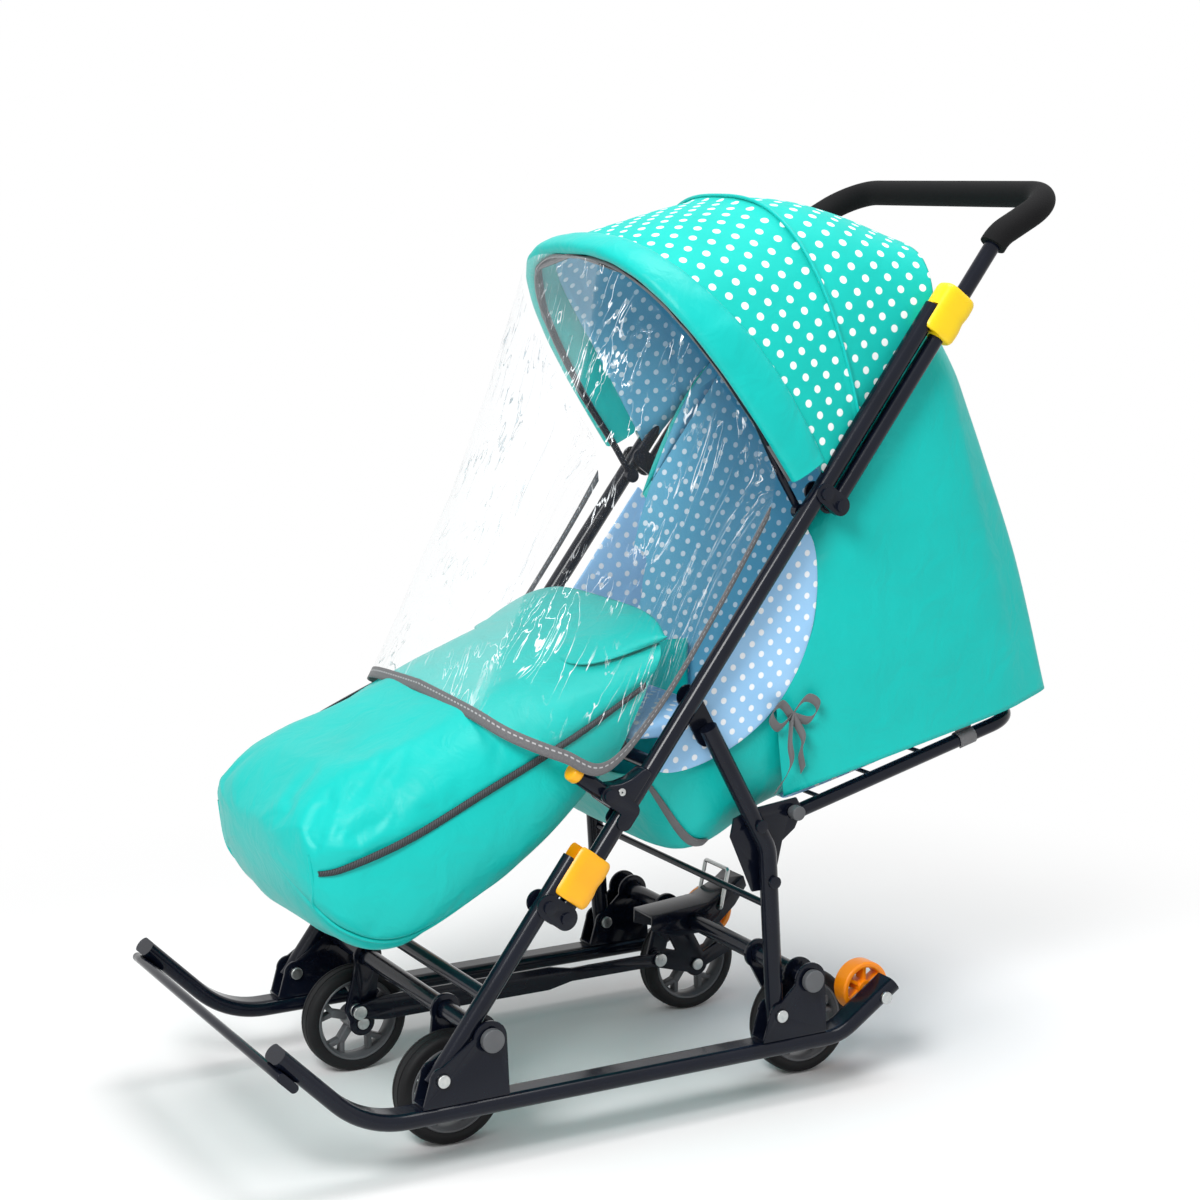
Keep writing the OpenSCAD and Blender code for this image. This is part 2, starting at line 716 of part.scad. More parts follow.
// Frame brackets: a forked gusset on each main tube that holds a short stub, pointing forward
module frame_brackets() {
    stub_mid = main_at(stub_s, frame_r + stub_len / 3);
    color(steel_colour) both() {
        for (x = [inner_plate, outer_plate]) difference() {
            side_plate(x, plate_t) {
                capsule(main_at(stub_s - 14), main_at(stub_s), 9);
                capsule(main_at(stub_s), stub_mid, 9);
            }
            cross_bar(stub_mid, x - 1, x + plate_t + 1, bolt_r + run_gap);
        }
        difference() {
            bar(at(half, main_at(stub_s)), at(half, main_at(stub_s, stub_len)), stub_r_out);
            bar(at(half, knee), at(half, main_at(main_len)), frame_r + run_gap);
            cross_bar(stub_mid, half - frame_d, half + frame_d, bolt_r + run_gap);
        }
        bolt(stub_mid, inner_plate, outer_plate + plate_t);
    }
}

module stub_plugs() {
    color(yellow_colour) both()
        bar(at(half, main_at(stub_s, stub_len)), at(half, main_at(stub_s, stub_len + 12)), stub_r_out + 1.5);
}

// Handle hinges: plates beside each main tube that carry the handle's pivot bolt
module handle_hinges() {
    on_tube = main_at(handle_pivot_s);
    color(steel_colour) both() for (x = [inner_plate, outer_plate]) difference() {
        side_plate(x, plate_t) capsule(on_tube, handle_pivot, 11);
        for (p = [on_tube, handle_pivot]) cross_bar(p, x - 1, x + plate_t + 1, bolt_r + run_gap);
    }
    color(zinc_colour) both() for (p = [on_tube, handle_pivot])
        bolt(p, inner_plate, outer_plate + plate_t);
}

// Rear legs: bent tubes on the rear brackets, with an eye beside the main tube at the top
leg_low_dir = unit(elbow - rear_bolt);
leg_high_dir = unit(rear_pivot - elbow);
rod_at = rear_bolt + leg_low_dir * 122;
recline_bolt_low = rear_bolt + leg_low_dir * 152;
recline_bolt_high = elbow + leg_high_dir * 32;

module rear_leg() {
    eye_r = 13;
    leg_end = rear_pivot - leg_high_dir * eye_reach;
    weld = leg_end - leg_high_dir * 12;
    color(steel_colour) difference() {
        union() {
            bent([
                at(half, rear_bolt - leg_low_dir * leg_tail), at(half, elbow), at(half, leg_end)
            ], 45, [1, 0, 0]) circle(r = frame_r);
            side_plate(inner_plate, plate_t) capsule(weld, rear_pivot, eye_r);
            cross_bar(weld, inner_plate, half, 8);
            cross_bar(rear_pivot, inner_plate - head_h, inner_plate, head_r);
        }
        for (p = [rear_bolt, recline_bolt_low, recline_bolt_high])
            cross_bar(p, half - frame_d, half + frame_d, bolt_r + run_gap);
    }
}

module rear_leg_left() rear_leg();
module rear_leg_right() mirror([1, 0, 0]) rear_leg();

module rear_rod() {
    color(steel_colour) difference() {
        cross_bar(rod_at, -half, half, rod_d / 2);
        both() bar(at(half, rear_bolt), at(half, elbow), frame_r + run_gap);
    }
}

// Recline plates: each is bolted inside a rear leg and carries the backrest's pivot stud
module recline_plates() {
    stud_x = back_half - back_r - 1;
    outline = [
        back_pivot + [-62, -2], recline_bolt_low + [-14, -14], recline_bolt_low + [12, -14],
        back_pivot + [4, -14], back_pivot + [20, -2], recline_pin_at + [14, 0],
        recline_pin_at + [6, 14], recline_bolt_high + [4, 14], back_pivot + [-58, 18]
    ];
    color(steel_colour) both() {
        difference() {
            union() {
                side_plate(inner_plate, plate_t) polygon(outline);
                cross_bar(back_pivot, back_half + back_r + 0.3, inner_plate, 9);
                cross_bar(back_pivot, stud_x, inner_plate, bolt_r);
                cross_bar(back_pivot, stud_x - head_h, stud_x, head_r);
            }
            for (p = [recline_bolt_low, recline_bolt_high])
                cross_bar(p, inner_plate - 1, inner_plate + plate_t + 1, bolt_r + run_gap);
            cross_bar(recline_pin_at, inner_plate - 1, inner_plate + plate_t + 1, pin_r + run_gap);
        }
        for (p = [recline_bolt_low, recline_bolt_high]) bolt(p, inner_plate, half + frame_r);
    }
}

// Recline pins: spring pins with a grey knob, pulled outwards to free the backrest
pin_r = 3.5;
module recline_pin() {
    knob_x = inner_plate + plate_t + 0.3;
    color(grey_colour) {
        cross_bar(recline_pin_at, back_half + back_r + 0.8, knob_x, pin_r);
        cross_bar(recline_pin_at, knob_x, knob_x + 4, 6);
        cross_bar(recline_pin_at, knob_x + 4, knob_x + 15, 8);
    }
}

module recline_pin_left() recline_pin();
module recline_pin_right() mirror([1, 0, 0]) recline_pin();

// Backrest: a U of tube with cross wires, a padded back on it and the harness on the pad
back_nrm = [-back_dir[1], back_dir[0]];
function on_back(x, along, up) = at(x, back_pivot + back_dir * along + back_nrm * up);

module backrest_frame() {
    wires = 4;
    color(steel_colour) difference() {
        union() {
            bent([
                on_back(back_half, -10, 0), on_back(back_half, back_len, 0),
                on_back(-back_half, back_len, 0), on_back(-back_half, -10, 0)
            ], 40, at(0, back_nrm)) circle(r = back_r);
            for (k = [1 : wires]) bar(
                on_back(-back_half, back_len * k / (wires + 1), back_r - wire_r),
                on_back(back_half, back_len * k / (wires + 1), back_r - wire_r), wire_r);
        }
        cross_bar(back_pivot, -back_half - back_d, -back_half + back_d, bolt_r + run_gap);
        cross_bar(back_pivot, back_half - back_d, back_half + back_d, bolt_r + run_gap);
    }
}

// A cushion's ring: half width w, from z0 up to z1, drawn in at the sides and crowned on top
function pad_ring(w, z1, steps) = [for (k = [0 : steps - 1]) let (a = 360 * k / steps)
    [w * soft(cos(a), 0.45), sin(a) > 0 ? z1 * pow(sin(a), 0.5) : -4 * pow(-sin(a), 0.3)]];

pad_steps = 28;
pad_gap = 0.3;
pad_low = back_r + pad_gap + 4;
pad_high = 34;

module back_pad() {
    rows = 12;
    first = 34;
    last = back_len - 14;
    color(blue_colour) skin([for (i = [0 : rows]) let (
            f = i / rows,
            full = pow(max(0.02, sin(180 * min(0.97, max(0.03, f)))), 0.22),
            channel = 1 - 0.22 * pow(abs(cos(3 * 180 * f)), 12),
            ring = pad_ring(back_half * (0.86 + 0.06 * full), pad_high * full * channel, pad_steps)
        ) [for (p = ring) on_back(p[0], first + (last - first) * f, pad_low + p[1])]]);
}

module harness() {
    strap_w = 34;
    strap_t = 3;
    strap_x = 62;
    strap_start = 60;
    strap_end = back_len - 62;
    lap_start = 96;
    up = pad_low + pad_high + 0.1;
    color(grey_colour) {
        for (x = [-strap_x, strap_x])
            place(on_back(x - strap_w / 2, strap_start, up), [1, 0, 0], at(0, back_dir), at(0, back_nrm))
                linear_extrude(strap_t) square([strap_w, strap_end - strap_start]);
        place(on_back(-strap_x - strap_w / 2, lap_start, up), [1, 0, 0], at(0, back_dir), at(0, back_nrm))
            linear_extrude(strap_t) square([2 * strap_x + strap_w, strap_w]);
    }
}

// Handle: a bent tube behind the main tubes, with a foam grip over its top
handle_rise = main_len - handle_pivot_s + handle_above;
handle_knee = handle_pivot + tube_dir * handle_rise;
grip_bar = handle_knee + [grip_back, grip_up];
foam_start = handle_rise - 14;

function handle_path(start) = [
    at(half, start), at(half, handle_knee), at(half, grip_bar),
    at(-half, grip_bar), at(-half, handle_knee), at(-half, start)
];

module handle_tube() {
    color(steel_colour) difference() {
        bent(handle_path(handle_pivot - tube_dir * handle_tail), handle_bend_r) circle(r = handle_r);
        both() cross_bar(handle_pivot, half - handle_d, half + handle_d, bolt_r + run_gap);
    }
}

module handle_grip() {
    color(foam_colour) difference() {
        bent(handle_path(handle_pivot + tube_dir * foam_start), handle_bend_r) circle(d = grip_d);
        bent(handle_path(handle_pivot + tube_dir * (foam_start - 1)), handle_bend_r)
            circle(r = handle_r + run_gap);
    }
}

// Latches: sliders round one tube that straddle the tube in front, open towards the front
module latch(s, off, carry_r, reach) {
    cheek = frame_r + 0.4 + latch_wall;
    color(yellow_colour)
    place(at(half, main_at(s, off)), [-1, 0, 0], at(0, tube_nrm), at(0, tube_dir)) {
        linear_extrude(latch_len) difference() {
            union() {
                circle(r = carry_r + latch_wall);
                translate([-cheek, 0]) square([2 * cheek, reach + 5]);
            }
            circle(r = carry_r + slide_gap);
            translate([-frame_r - 0.4, reach - frame_r - 0.4]) square([2 * frame_r + 0.8, frame_d + 6]);
        }
        translate([0, 0, latch_len * 0.35]) linear_extrude(latch_len * 0.3) difference() {
            circle(r = carry_r + latch_wall + 4);
            circle(r = carry_r + latch_wall - 0.5);
            translate([-2 * frame_d, 0]) square([4 * frame_d, 2 * frame_d]);
        }
    }
}

upper_latch_s = main_len - 26;
lower_latch_s = 16;
module upper_latch() latch(upper_latch_s, -handle_offset, handle_r, handle_offset);
module lower_latch() latch(lower_latch_s, 0, frame_r, knee_offset);
module upper_latch_left() upper_latch();
module upper_latch_right() mirror([1, 0, 0]) upper_latch();
module lower_latch_left() lower_latch();
module lower_latch_right() mirror([1, 0, 0]) lower_latch();

// Footrest: a U of tube with a foot board, clipped round the seat tube, inside the muff
foot_dir = unit([-0.92, -0.39]);
foot_len = 285;
foot_half = 110;
clip_wall = 5;

module footrest() {
    tube_r = 7;
    board_half = muff_half - 24;
    board_len = 90;
    foot_nrm = [foot_dir[1], -foot_dir[0]];
    start = seat_axis + foot_dir * (cross_r + 3);
    end = seat_axis + foot_dir * foot_len;
    color(rubber_colour) difference() {
        union() {
            bent([at(foot_half, start), at(foot_half, end), at(-foot_half, end), at(-foot_half, start)],
                30, at(0, foot_nrm)) circle(r = tube_r);
            for (x = [-foot_half, foot_half]) cross_bar(seat_axis, x - 10, x + 10, cross_r + clip_wall);
            side_plate(-board_half, 2 * board_half) polygon([
                end + foot_nrm * 2, end - foot_dir * board_len + foot_nrm * 2,
                end - foot_dir * board_len + foot_nrm * 10, end + foot_nrm * 10
            ]);
        }
        cross_bar(seat_axis, -half, half, cross_r + run_gap);
    }
}

// Hood: cloth over a front bow that swings on the main tubes. Its arches run from a low edge
// beside the main tube, over the top, to the other side; u goes from the front rim to the rear.
hood_power = 2 / 2.8;
hood_low = [[25, 668], [50, 703], [76, 739], [125, 800], [185, 868]];
hood_top = [[-151, 927], [-70, 958], [20, 979], [115, 982], [212, 945]];
hood_wide = [hood_half, hood_half - 4, hood_half - 12, hood_half - 19, hood_half - 22];

function hood_at(u, t, grow = 0) =
    let (
        low = through(hood_low, u),
        top = through(hood_top, u),
        rise = pow(abs(sin(t)), hood_power),
        out = top - low
    )
    concat(
        (through(hood_wide, u) + grow) * soft(cos(t), hood_power),
        [y0, 0] + low + out * rise * (1 + grow / norm(out))
    );

module hood_bow() {
    eye_x = half - frame_r - 10;
    turns = [for (k = [0 : 6]) 12 + 26 * k];
    foot = at(eye_x + 4.5, hood_hinge);
    shin = foot + unit(hood_at(0.03, turns[0]) - foot) * 46;
    shin_in = [foot.x, shin.y, shin.z];
    color(steel_colour) difference() {
        union() {
            bent(concat(
                [foot, shin_in],
                [for (t = turns) hood_at(0.03, t, -bow_r - 1)],
                [[-shin_in.x, shin_in.y, shin_in.z], [-foot.x, foot.y, foot.z]]
            ), 24) circle(r = bow_r);
            both() cross_bar(hood_hinge, eye_x, eye_x + 9, hood_pin_r + 4);
        }
        both() cross_bar(hood_hinge, eye_x - 5, half, hood_pin_r + run_gap);
    }
}

module hood_canopy() {
    us = [0, 0.03, 0.06, 0.09, 0.12, 0.2, 0.3, 0.4, 0.5, 0.6, 0.7, 0.8, 0.9, 1];
    roll = 7;
    roll_end = 0.12;
    steps = 29;
    color(teal_colour) sheet([for (u = us) let (first = u < 0.85 ? 0.4 : 3) [for (k = [0 : steps])
        hood_at(u, first + (180 - 2 * first) * k / steps,
            u < roll_end ? roll * sin(180 * u / roll_end) : 0)]], cloth_t);
}

// Rear curtain: cloth round the back and sides, from the hood down to the backrest's end,
// falling in long folds. The first list is its front edges, the second its rear corners.
curtain_half = 174.8;
curtain_power = 0.25;
curtain_front = [[194, 860], [122, 745], [72, 610], [58, 474], [54, 338]];
curtain_back = [[222, 930], [252, 828], [308, 702], [362, 572], [curtain_rear - cloth_t - 1, 428]];

module rear_curtain() {
    rows = 10;
    folds = 4;
    color(teal_colour) sheet([for (i = [0 : rows]) let (
            v = i / rows,
            front = through(curtain_front, v),
            back = through(curtain_back, v)
        ) [for (t = [0 : 5 : 180]) let (
                deep = pow(abs(sin(t)), curtain_power),
                side = soft(cos(t), curtain_power),
                wave = 1.2 * v * sin(deep * folds * 360)
            ) concat((curtain_half + wave) * side, [y0, 0] + front + (back - front) * deep)]], cloth_t);
}

// Side panels: padded half moons between the main tube's line and a round rear edge
panel_mid = 176.6;
module side_panels() {
    low = main_at(seat_s + 8, -5);
    high = main_at(hood_hinge_s - 12, -17);
    depth = 86;
    rows = 14;
    across = unit([high[1] - low[1], low[0] - high[0]]);
    color(blue_colour) both() skin([for (i = [0 : rows]) let (
            f = i / rows,
            wide = 10 + depth * pow(sin(180 * f), 0.7),
            fat = 1 + 1.5 * pow(sin(180 * f), 0.5)
        ) [for (k = [0 : 15]) let (a = -360 * k / 16)
            concat(panel_mid + fat * soft(sin(a), 0.7),
                low + (high - low) * f + across * wide * (1 - soft(cos(a), 0.7)) / 2)]]);
}

// Seat pad: a crowned cushion that lies on the seat tube's clips
module seat_pad() {
    rows = 10;
    pad_front = seat_axis[0] - 4;
    pad_len = 128;
    pad_base = seat_axis[1] + cross_r + clip_wall + pad_gap + 4;
    color(blue_colour) skin([for (i = [0 : rows]) let (
            f = i / rows,
            full = pow(max(0.02, sin(180 * min(0.97, max(0.03, f)))), 0.25),
            ring = pad_ring(146 + 8 * full, 28 * full, pad_steps)
        ) [for (p = ring) [p[0], pad_front + pad_len * f, pad_base + p[1]]]]);
}

// Foot muff: a stuffed cloth sock round the footrest, open to the seat. Each section runs
// from a top point to a bottom point of the side view, with its own half width.
muff_t = 6;
muff_top = [[-105, 542], [-215, 500], [-320, 463], [-420, 424], [-495, 394], [-536, 362]];
muff_bottom = [[-205, 358], [-268, 300], [-345, 254], [-424, 226], [-482, 248], [-524, 302]];
muff_wide = [muff_half - 8, muff_half - 2, muff_half, muff_half - 2, muff_half - 16, muff_half - 52];
muff_power = 0.5;
muff_steps = 32;

function muff_ring(f, inset) =
    let (
        top = through(muff_top, f),
        low = through(muff_bottom, f),
        mid = (top + low) / 2,
        up = (top - low) / 2,
        wide = through(muff_wide, f) - inset
    )
    [for (k = [0 : muff_steps - 1]) let (a = -360 * k / muff_steps)
        concat(wide * soft(cos(a), muff_power),
            [y0, 0] + mid + up * (1 - inset / norm(up)) * soft(sin(a), muff_power))];

module foot_muff() {
    rings = 11;
    color(teal_colour) skin(concat(
        [for (i = [rings : -1 : 0]) muff_ring(i / rings * 0.985, muff_t)],
        [for (i = [0 : rings]) muff_ring(i / rings, 0)]
    ));
}

// Rain cover: clear film from the hood's rim down over the muff, with a bound lower edge. The
// list runs along that edge from one side to its middle, as [X, Y, Z].
cover_t = 1.5;
cover_edge = [
    [183, 16, 677], [182, -62, 560], [180, -136, 456], [176, -196, 396],
    [176, -262, 416], [170, -309, 438], [120, -331, 454], [0, -336, 462]
];

module rain_cover() {
    rows = 8;
    color(clear_colour) sheet([for (i = [0 : rows]) let (v = i / rows)
        [for (t = [4 : 4.3 : 176]) let (
                rim_pt = hood_at(0, t, 0) + [0, -9, -3],
                k = through(cover_edge, min(t, 180 - t) / 90),
                edge = [t < 90 ? k[0] : -k[0], y0 + k[1], k[2]],
                slack = [0, 10, -14] * sin(180 * v) * sin(t)
            ) edge + (rim_pt - edge) * v + slack]], cover_t);
}

runner_left();
runner_right();
toe_bar();
front_brackets();
rear_brackets();
chassis_bolts();
front_axle_tube();
front_fork_plates();
front_stub_bolts();
front_axle_caps();
rear_axle_tube();
rear_fork_plates();
rear_stub_bolts();
rear_axle_caps();
lift_pedal();
lock_bail();
lift_link();
tyre_front_left();
tyre_front_right();
tyre_rear_left();
tyre_rear_right();
rim_front_left();
rim_front_right();
rim_rear_left();
rim_rear_right();
tip_wheel_left();
tip_wheel_right();
front_leg_left();
front_leg_right();
front_brace();
knee_plates();
main_tube_left();
main_tube_right();
seat_tube();
frame_brackets();
stub_plugs();
handle_hinges();
rear_leg_left();
rear_leg_right();
rear_rod();
recline_plates();
recline_pin_left();
recline_pin_right();
backrest_frame();
back_pad();
harness();
handle_tube();
handle_grip();
upper_latch_left();
upper_latch_right();
lower_latch_left();
lower_latch_right();
footrest();
hood_bow();
hood_canopy();
rear_curtain();
side_panels();
seat_pad();
foot_muff();
rain_cover();
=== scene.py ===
"""Sled stroller: the looks of a folding push sled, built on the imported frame, in metres."""

import json
import math

import bmesh
import bpy
from mathutils import Matrix, Vector, noise


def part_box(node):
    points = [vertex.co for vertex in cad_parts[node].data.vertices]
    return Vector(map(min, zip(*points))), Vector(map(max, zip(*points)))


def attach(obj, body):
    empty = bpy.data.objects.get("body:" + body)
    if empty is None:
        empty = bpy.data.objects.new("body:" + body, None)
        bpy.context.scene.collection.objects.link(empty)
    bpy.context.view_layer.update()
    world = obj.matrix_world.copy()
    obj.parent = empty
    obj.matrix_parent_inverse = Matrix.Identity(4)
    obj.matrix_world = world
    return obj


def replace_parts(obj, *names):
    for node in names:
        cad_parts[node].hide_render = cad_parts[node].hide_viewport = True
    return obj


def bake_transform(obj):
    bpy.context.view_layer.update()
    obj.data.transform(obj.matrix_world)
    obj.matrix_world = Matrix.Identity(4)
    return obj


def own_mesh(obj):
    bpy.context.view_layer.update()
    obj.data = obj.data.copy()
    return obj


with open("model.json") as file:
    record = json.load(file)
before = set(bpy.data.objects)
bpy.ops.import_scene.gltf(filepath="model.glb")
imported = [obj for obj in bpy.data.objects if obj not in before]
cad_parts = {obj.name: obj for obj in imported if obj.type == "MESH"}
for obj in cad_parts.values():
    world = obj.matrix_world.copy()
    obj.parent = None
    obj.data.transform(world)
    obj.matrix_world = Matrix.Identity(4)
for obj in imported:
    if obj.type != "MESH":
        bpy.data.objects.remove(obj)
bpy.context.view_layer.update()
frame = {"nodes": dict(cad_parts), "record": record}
nodes = frame["nodes"]
bodies = frame["record"]["behaviour"]["bodies"]
body_of_node = {node: body for body, names in bodies.items() for node in names}


# Frame tubes and stamped plates: thin steel tube and sheet, welded, bolted and stoved in a
# blue-black gloss enamel. The press rounds the plates' edges, which catch a thin line of light.
def linear(hex_colour):
    """An sRGB hex colour as linear RGBA."""
    channels = [int(hex_colour[i:i + 2], 16) / 255 for i in (1, 3, 5)]
    curve = [c / 12.92 if c <= 0.04045 else ((c + 0.055) / 1.055) ** 2.4 for c in channels]
    return (*curve, 1.0)


def add(tree, kind, inputs=None, **settings):
    """Adds a node, with its settings, and its inputs as values or as other nodes' outputs."""
    node = tree.nodes.new("ShaderNode" + kind)
    for name, value in settings.items():
        setattr(node, name, value)
    for socket, value in (inputs or {}).items():
        if isinstance(value, bpy.types.NodeSocket):
            tree.links.new(value, node.inputs[socket])
        else:
            node.inputs[socket].default_value = value
    return node


def new_material(name, **sockets):
    """A material with one Principled shader, whose plain sockets are set by name."""
    material = bpy.data.materials.new(name)
    material.use_nodes = True
    tree = material.node_tree
    tree.nodes.clear()
    inputs = {key.replace("_", " "): value for key, value in sockets.items()}
    shader = add(tree, "BsdfPrincipled", inputs)
    add(tree, "OutputMaterial", {"Surface": shader.outputs[0]})
    return material, tree, shader


def into(tree, shader, **outputs):
    """Links outputs to the shader's sockets of those names."""
    for name, output in outputs.items():
        tree.links.new(output, shader.inputs[name.replace("_", " ")])


def spaced(millimetres):
    """The scale of a pattern whose marks lie that far apart."""
    return 1000 / millimetres


def stoved_enamel():
    """Stoved enamel: deep gloss over a faint orange peel, with a little dust in its colour."""
    material, tree, shader = new_material(
        "stoved_enamel", Coat_Weight=0.15, Coat_Roughness=0.05, Specular_IOR_Level=0.16)
    place = add(tree, "TexCoord").outputs["Object"]
    peel = add(tree, "TexNoise", {"Vector": place, "Scale": spaced(3.3333), "Detail": 2.0})
    dust = add(tree, "TexNoise", {"Vector": place, "Scale": spaced(45.455), "Detail": 5.0})
    colour = add(tree, "MixRGB", {
        "Fac": dust.outputs["Fac"], "Color1": linear("#070A14"), "Color2": linear("#0F1422")})
    gloss = add(tree, "MapRange", {"Value": dust.outputs["Fac"], "To Min": 0.14, "To Max": 0.28})
    bump = add(tree, "Bump", {"Height": peel.outputs["Fac"], "Strength": 0.03, "Distance": 0.0004})
    into(tree, shader, Base_Color=colour.outputs[0], Roughness=gloss.outputs[0], Normal=bump.outputs[0])
    return material


SHARP_DEGREES = 40
MERGE_DISTANCE = 1e-5


def piece(bm, name, material, body, slot, smooth=SHARP_DEGREES):
    """Makes a bmesh an object that rides on a body, smooth up to an angle in degrees."""
    mesh = bpy.data.meshes.new(name)
    bm.to_mesh(mesh)
    bm.free()
    for face in mesh.polygons:
        face.use_smooth = True
    mesh.set_sharp_from_angle(angle=math.radians(smooth))
    mesh.materials.append(material)
    made = bpy.data.objects.new(name, mesh)
    bpy.context.collection.objects.link(made)
    if body:
        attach(made, body)
    return made


def painted(names, material):
    """Gives CAD nodes that stay a material."""
    for name in names:
        nodes[name].data.materials.clear()
        nodes[name].data.materials.append(material)


def rounded_edges(bm, edges, width, segments):
    """Rounds edges of a bmesh with a bevel that wide, in metres."""
    bmesh.ops.bevel(bm, geom=edges, offset=width, offset_type="OFFSET", segments=segments, profile=0.5,
        affect="EDGES", clamp_overlap=True, material=-1)


def softened(name, width, material, slot, segments=2):
    """A copy of a node with its sharp edges rounded, which stands for that node."""
    bm = bmesh.new()
    bm.from_mesh(nodes[name].data)
    bmesh.ops.remove_doubles(bm, verts=bm.verts, dist=MERGE_DISTANCE)
    bmesh.ops.dissolve_limit(bm, angle_limit=math.radians(0.5), verts=bm.verts, edges=bm.edges)
    shared = [edge for edge in bm.edges if len(edge.link_faces) == 2]
    sharp = [edge for edge in shared if edge.calc_face_angle() > math.radians(SHARP_DEGREES)]
    rounded_edges(bm, sharp, width, segments)
    made = piece(bm, name + "_finish", material, body_of_node[name], slot)
    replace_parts(made, name)
    return made


ENAMEL = stoved_enamel()
PRESSED_EDGE = 0.0007
TUBES = [
    "runner_left", "runner_right", "front_axle_tube", "rear_axle_tube", "front_leg_left",
    "front_leg_right", "front_brace", "main_tube_left", "main_tube_right", "seat_tube",
    "rear_leg_left", "rear_leg_right", "rear_rod", "backrest_frame", "handle_tube", "hood_bow",
]
STAMPED = [
    "toe_bar", "front_brackets", "rear_brackets", "front_fork_plates", "rear_fork_plates", "lift_pedal",
    "lift_link", "knee_plates", "frame_brackets", "handle_hinges", "recline_plates",
]
painted(TUBES, ENAMEL)
for stamped in STAMPED:
    softened(stamped, PRESSED_EDGE, ENAMEL, "black_steel")


# Fasteners and the pedal's wire bail: cold-headed steel bolts and a bent steel wire, zinc-plated
# and a little cloudy. The bolts hold the legs and the wheels, and the bail swings on the pedal.
def zinc_plate():
    """Zinc plate: a grey metal whose polish comes and goes in small clouds."""
    material, tree, shader = new_material("zinc_plate", Metallic=1.0)
    place = add(tree, "TexCoord").outputs["Object"]
    cloud = add(tree, "TexNoise", {"Vector": place, "Scale": spaced(3.8462), "Detail": 4.0})
    colour = add(tree, "MixRGB", {
        "Fac": cloud.outputs["Fac"], "Color1": linear("#9EA3A6"), "Color2": linear("#D5D6D2")})
    gloss = add(tree, "MapRange", {"Value": cloud.outputs["Fac"], "To Min": 0.2, "To Max": 0.45})
    into(tree, shader, Base_Color=colour.outputs[0], Roughness=gloss.outputs[0])
    return material


ZINC = zinc_plate()
BOLT_EDGE = 0.0009
for fastened in ("chassis_bolts", "front_stub_bolts", "rear_stub_bolts"):
    softened(fastened, BOLT_EDGE, ZINC, "zinc", segments=3)
painted(["lock_bail"], ZINC)


# Road wheels: a black rubber tyre with three ribs, on a grey nylon rim with five forked spokes.
# The tyre is stretched over the rim, whose hub turns on a stub bolt. Caps and knobs are nylon too.
def moulded(name, dark, light, rough, grain, depth, **sockets):
    """Moulded plastic or rubber: an even grain from the tool, and slight clouds of colour.

    The grain's spacing is in millimetres, and is drawn coarser than the tool's, so that it shows.
    """
    material, tree, shader = new_material(name, **sockets)
    place = add(tree, "TexCoord").outputs["Object"]
    cloud = add(tree, "TexNoise", {"Vector": place, "Scale": spaced(33.333), "Detail": 4.0})
    grained = add(tree, "TexNoise", {"Vector": place, "Scale": spaced(grain), "Detail": 2.0})
    colour = add(tree, "MixRGB", {
        "Fac": cloud.outputs["Fac"], "Color1": linear(dark), "Color2": linear(light)})
    gloss = add(tree, "MapRange", {
        "Value": cloud.outputs["Fac"], "To Min": rough - 0.06, "To Max": rough + 0.08})
    bump = add(tree, "Bump", {"Height": grained.outputs["Fac"], "Strength": 0.2, "Distance": depth})
    into(tree, shader, Base_Color=colour.outputs[0], Roughness=gloss.outputs[0], Normal=bump.outputs[0])
    return material


def turned(profile, steps=64):
    """A bmesh of a closed profile of (X, radius) points in millimetres, spun round the X axis."""
    bm = bmesh.new()
    ring = [bm.verts.new((x / 1000, 0, r / 1000)) for x, r in profile]
    edges = [bm.edges.new((a, b)) for a, b in zip(ring, ring[1:] + ring[:1])]
    bmesh.ops.spin(bm, geom=ring + edges, cent=(0, 0, 0), axis=(1, 0, 0), angle=math.tau, steps=steps,
        use_merge=True)
    bmesh.ops.recalc_face_normals(bm, faces=bm.faces)
    return bm


def joined(meshes):
    """One bmesh of several, which are freed."""
    whole = bmesh.new()
    for bm in meshes:
        mesh = bpy.data.meshes.new("part")
        bm.to_mesh(mesh)
        bm.free()
        whole.from_mesh(mesh)
        bpy.data.meshes.remove(mesh)
    return whole


def rounded_bar(size, width):
    """A bmesh of a box of that size in metres, with rounded edges, at the origin."""
    bm = bmesh.new()
    bmesh.ops.create_cube(bm, size=1.0)
    bmesh.ops.scale(bm, vec=size, verts=bm.verts)
    rounded_edges(bm, bm.edges[:], width, 3)
    return bm


TYRE_PROFILE = [
    (-12.6, 48), (-13.8, 51), (-14, 54), (-12.8, 58), (-10, 60.2), (-6.4, 60.9), (-5.8, 59.6),
    (-4.6, 59.6), (-4, 61), (4, 61), (4.6, 59.6), (5.8, 59.6), (6.4, 60.9), (10, 60.2), (12.8, 58),
    (14, 54), (13.8, 51), (12.6, 48), (9, 47.95), (-9, 47.95),
]
RIM_PROFILE = [
    (-12, 47.8), (-13, 46.6), (-12.4, 45), (-9, 43.4), (-7, 42), (7, 42), (9, 43.4), (12.4, 45),
    (13, 46.6), (12, 47.8),
]
HUB_PROFILE = [(-15, 5.2), (-15, 10), (-13, 13), (13, 13), (15, 11), (15, 5.2)]
SPOKES = 5
SPOKE_EDGE = 0.0016
STEM_SIZE = (0.012, 0.009, 0.022)
STEM_OUT = 0.020
PRONG_SIZE = (0.011, 0.0062, 0.021)
PRONG_OUT = 0.0355
PRONG_ASIDE = 0.0050
PRONG_LEAN = 34
CAP_EDGE = 0.0014
RUBBER = moulded("tyre_rubber", "#0D0D0F", "#161618", 0.6, 1.2, 0.0003, Specular_IOR_Level=0.25)
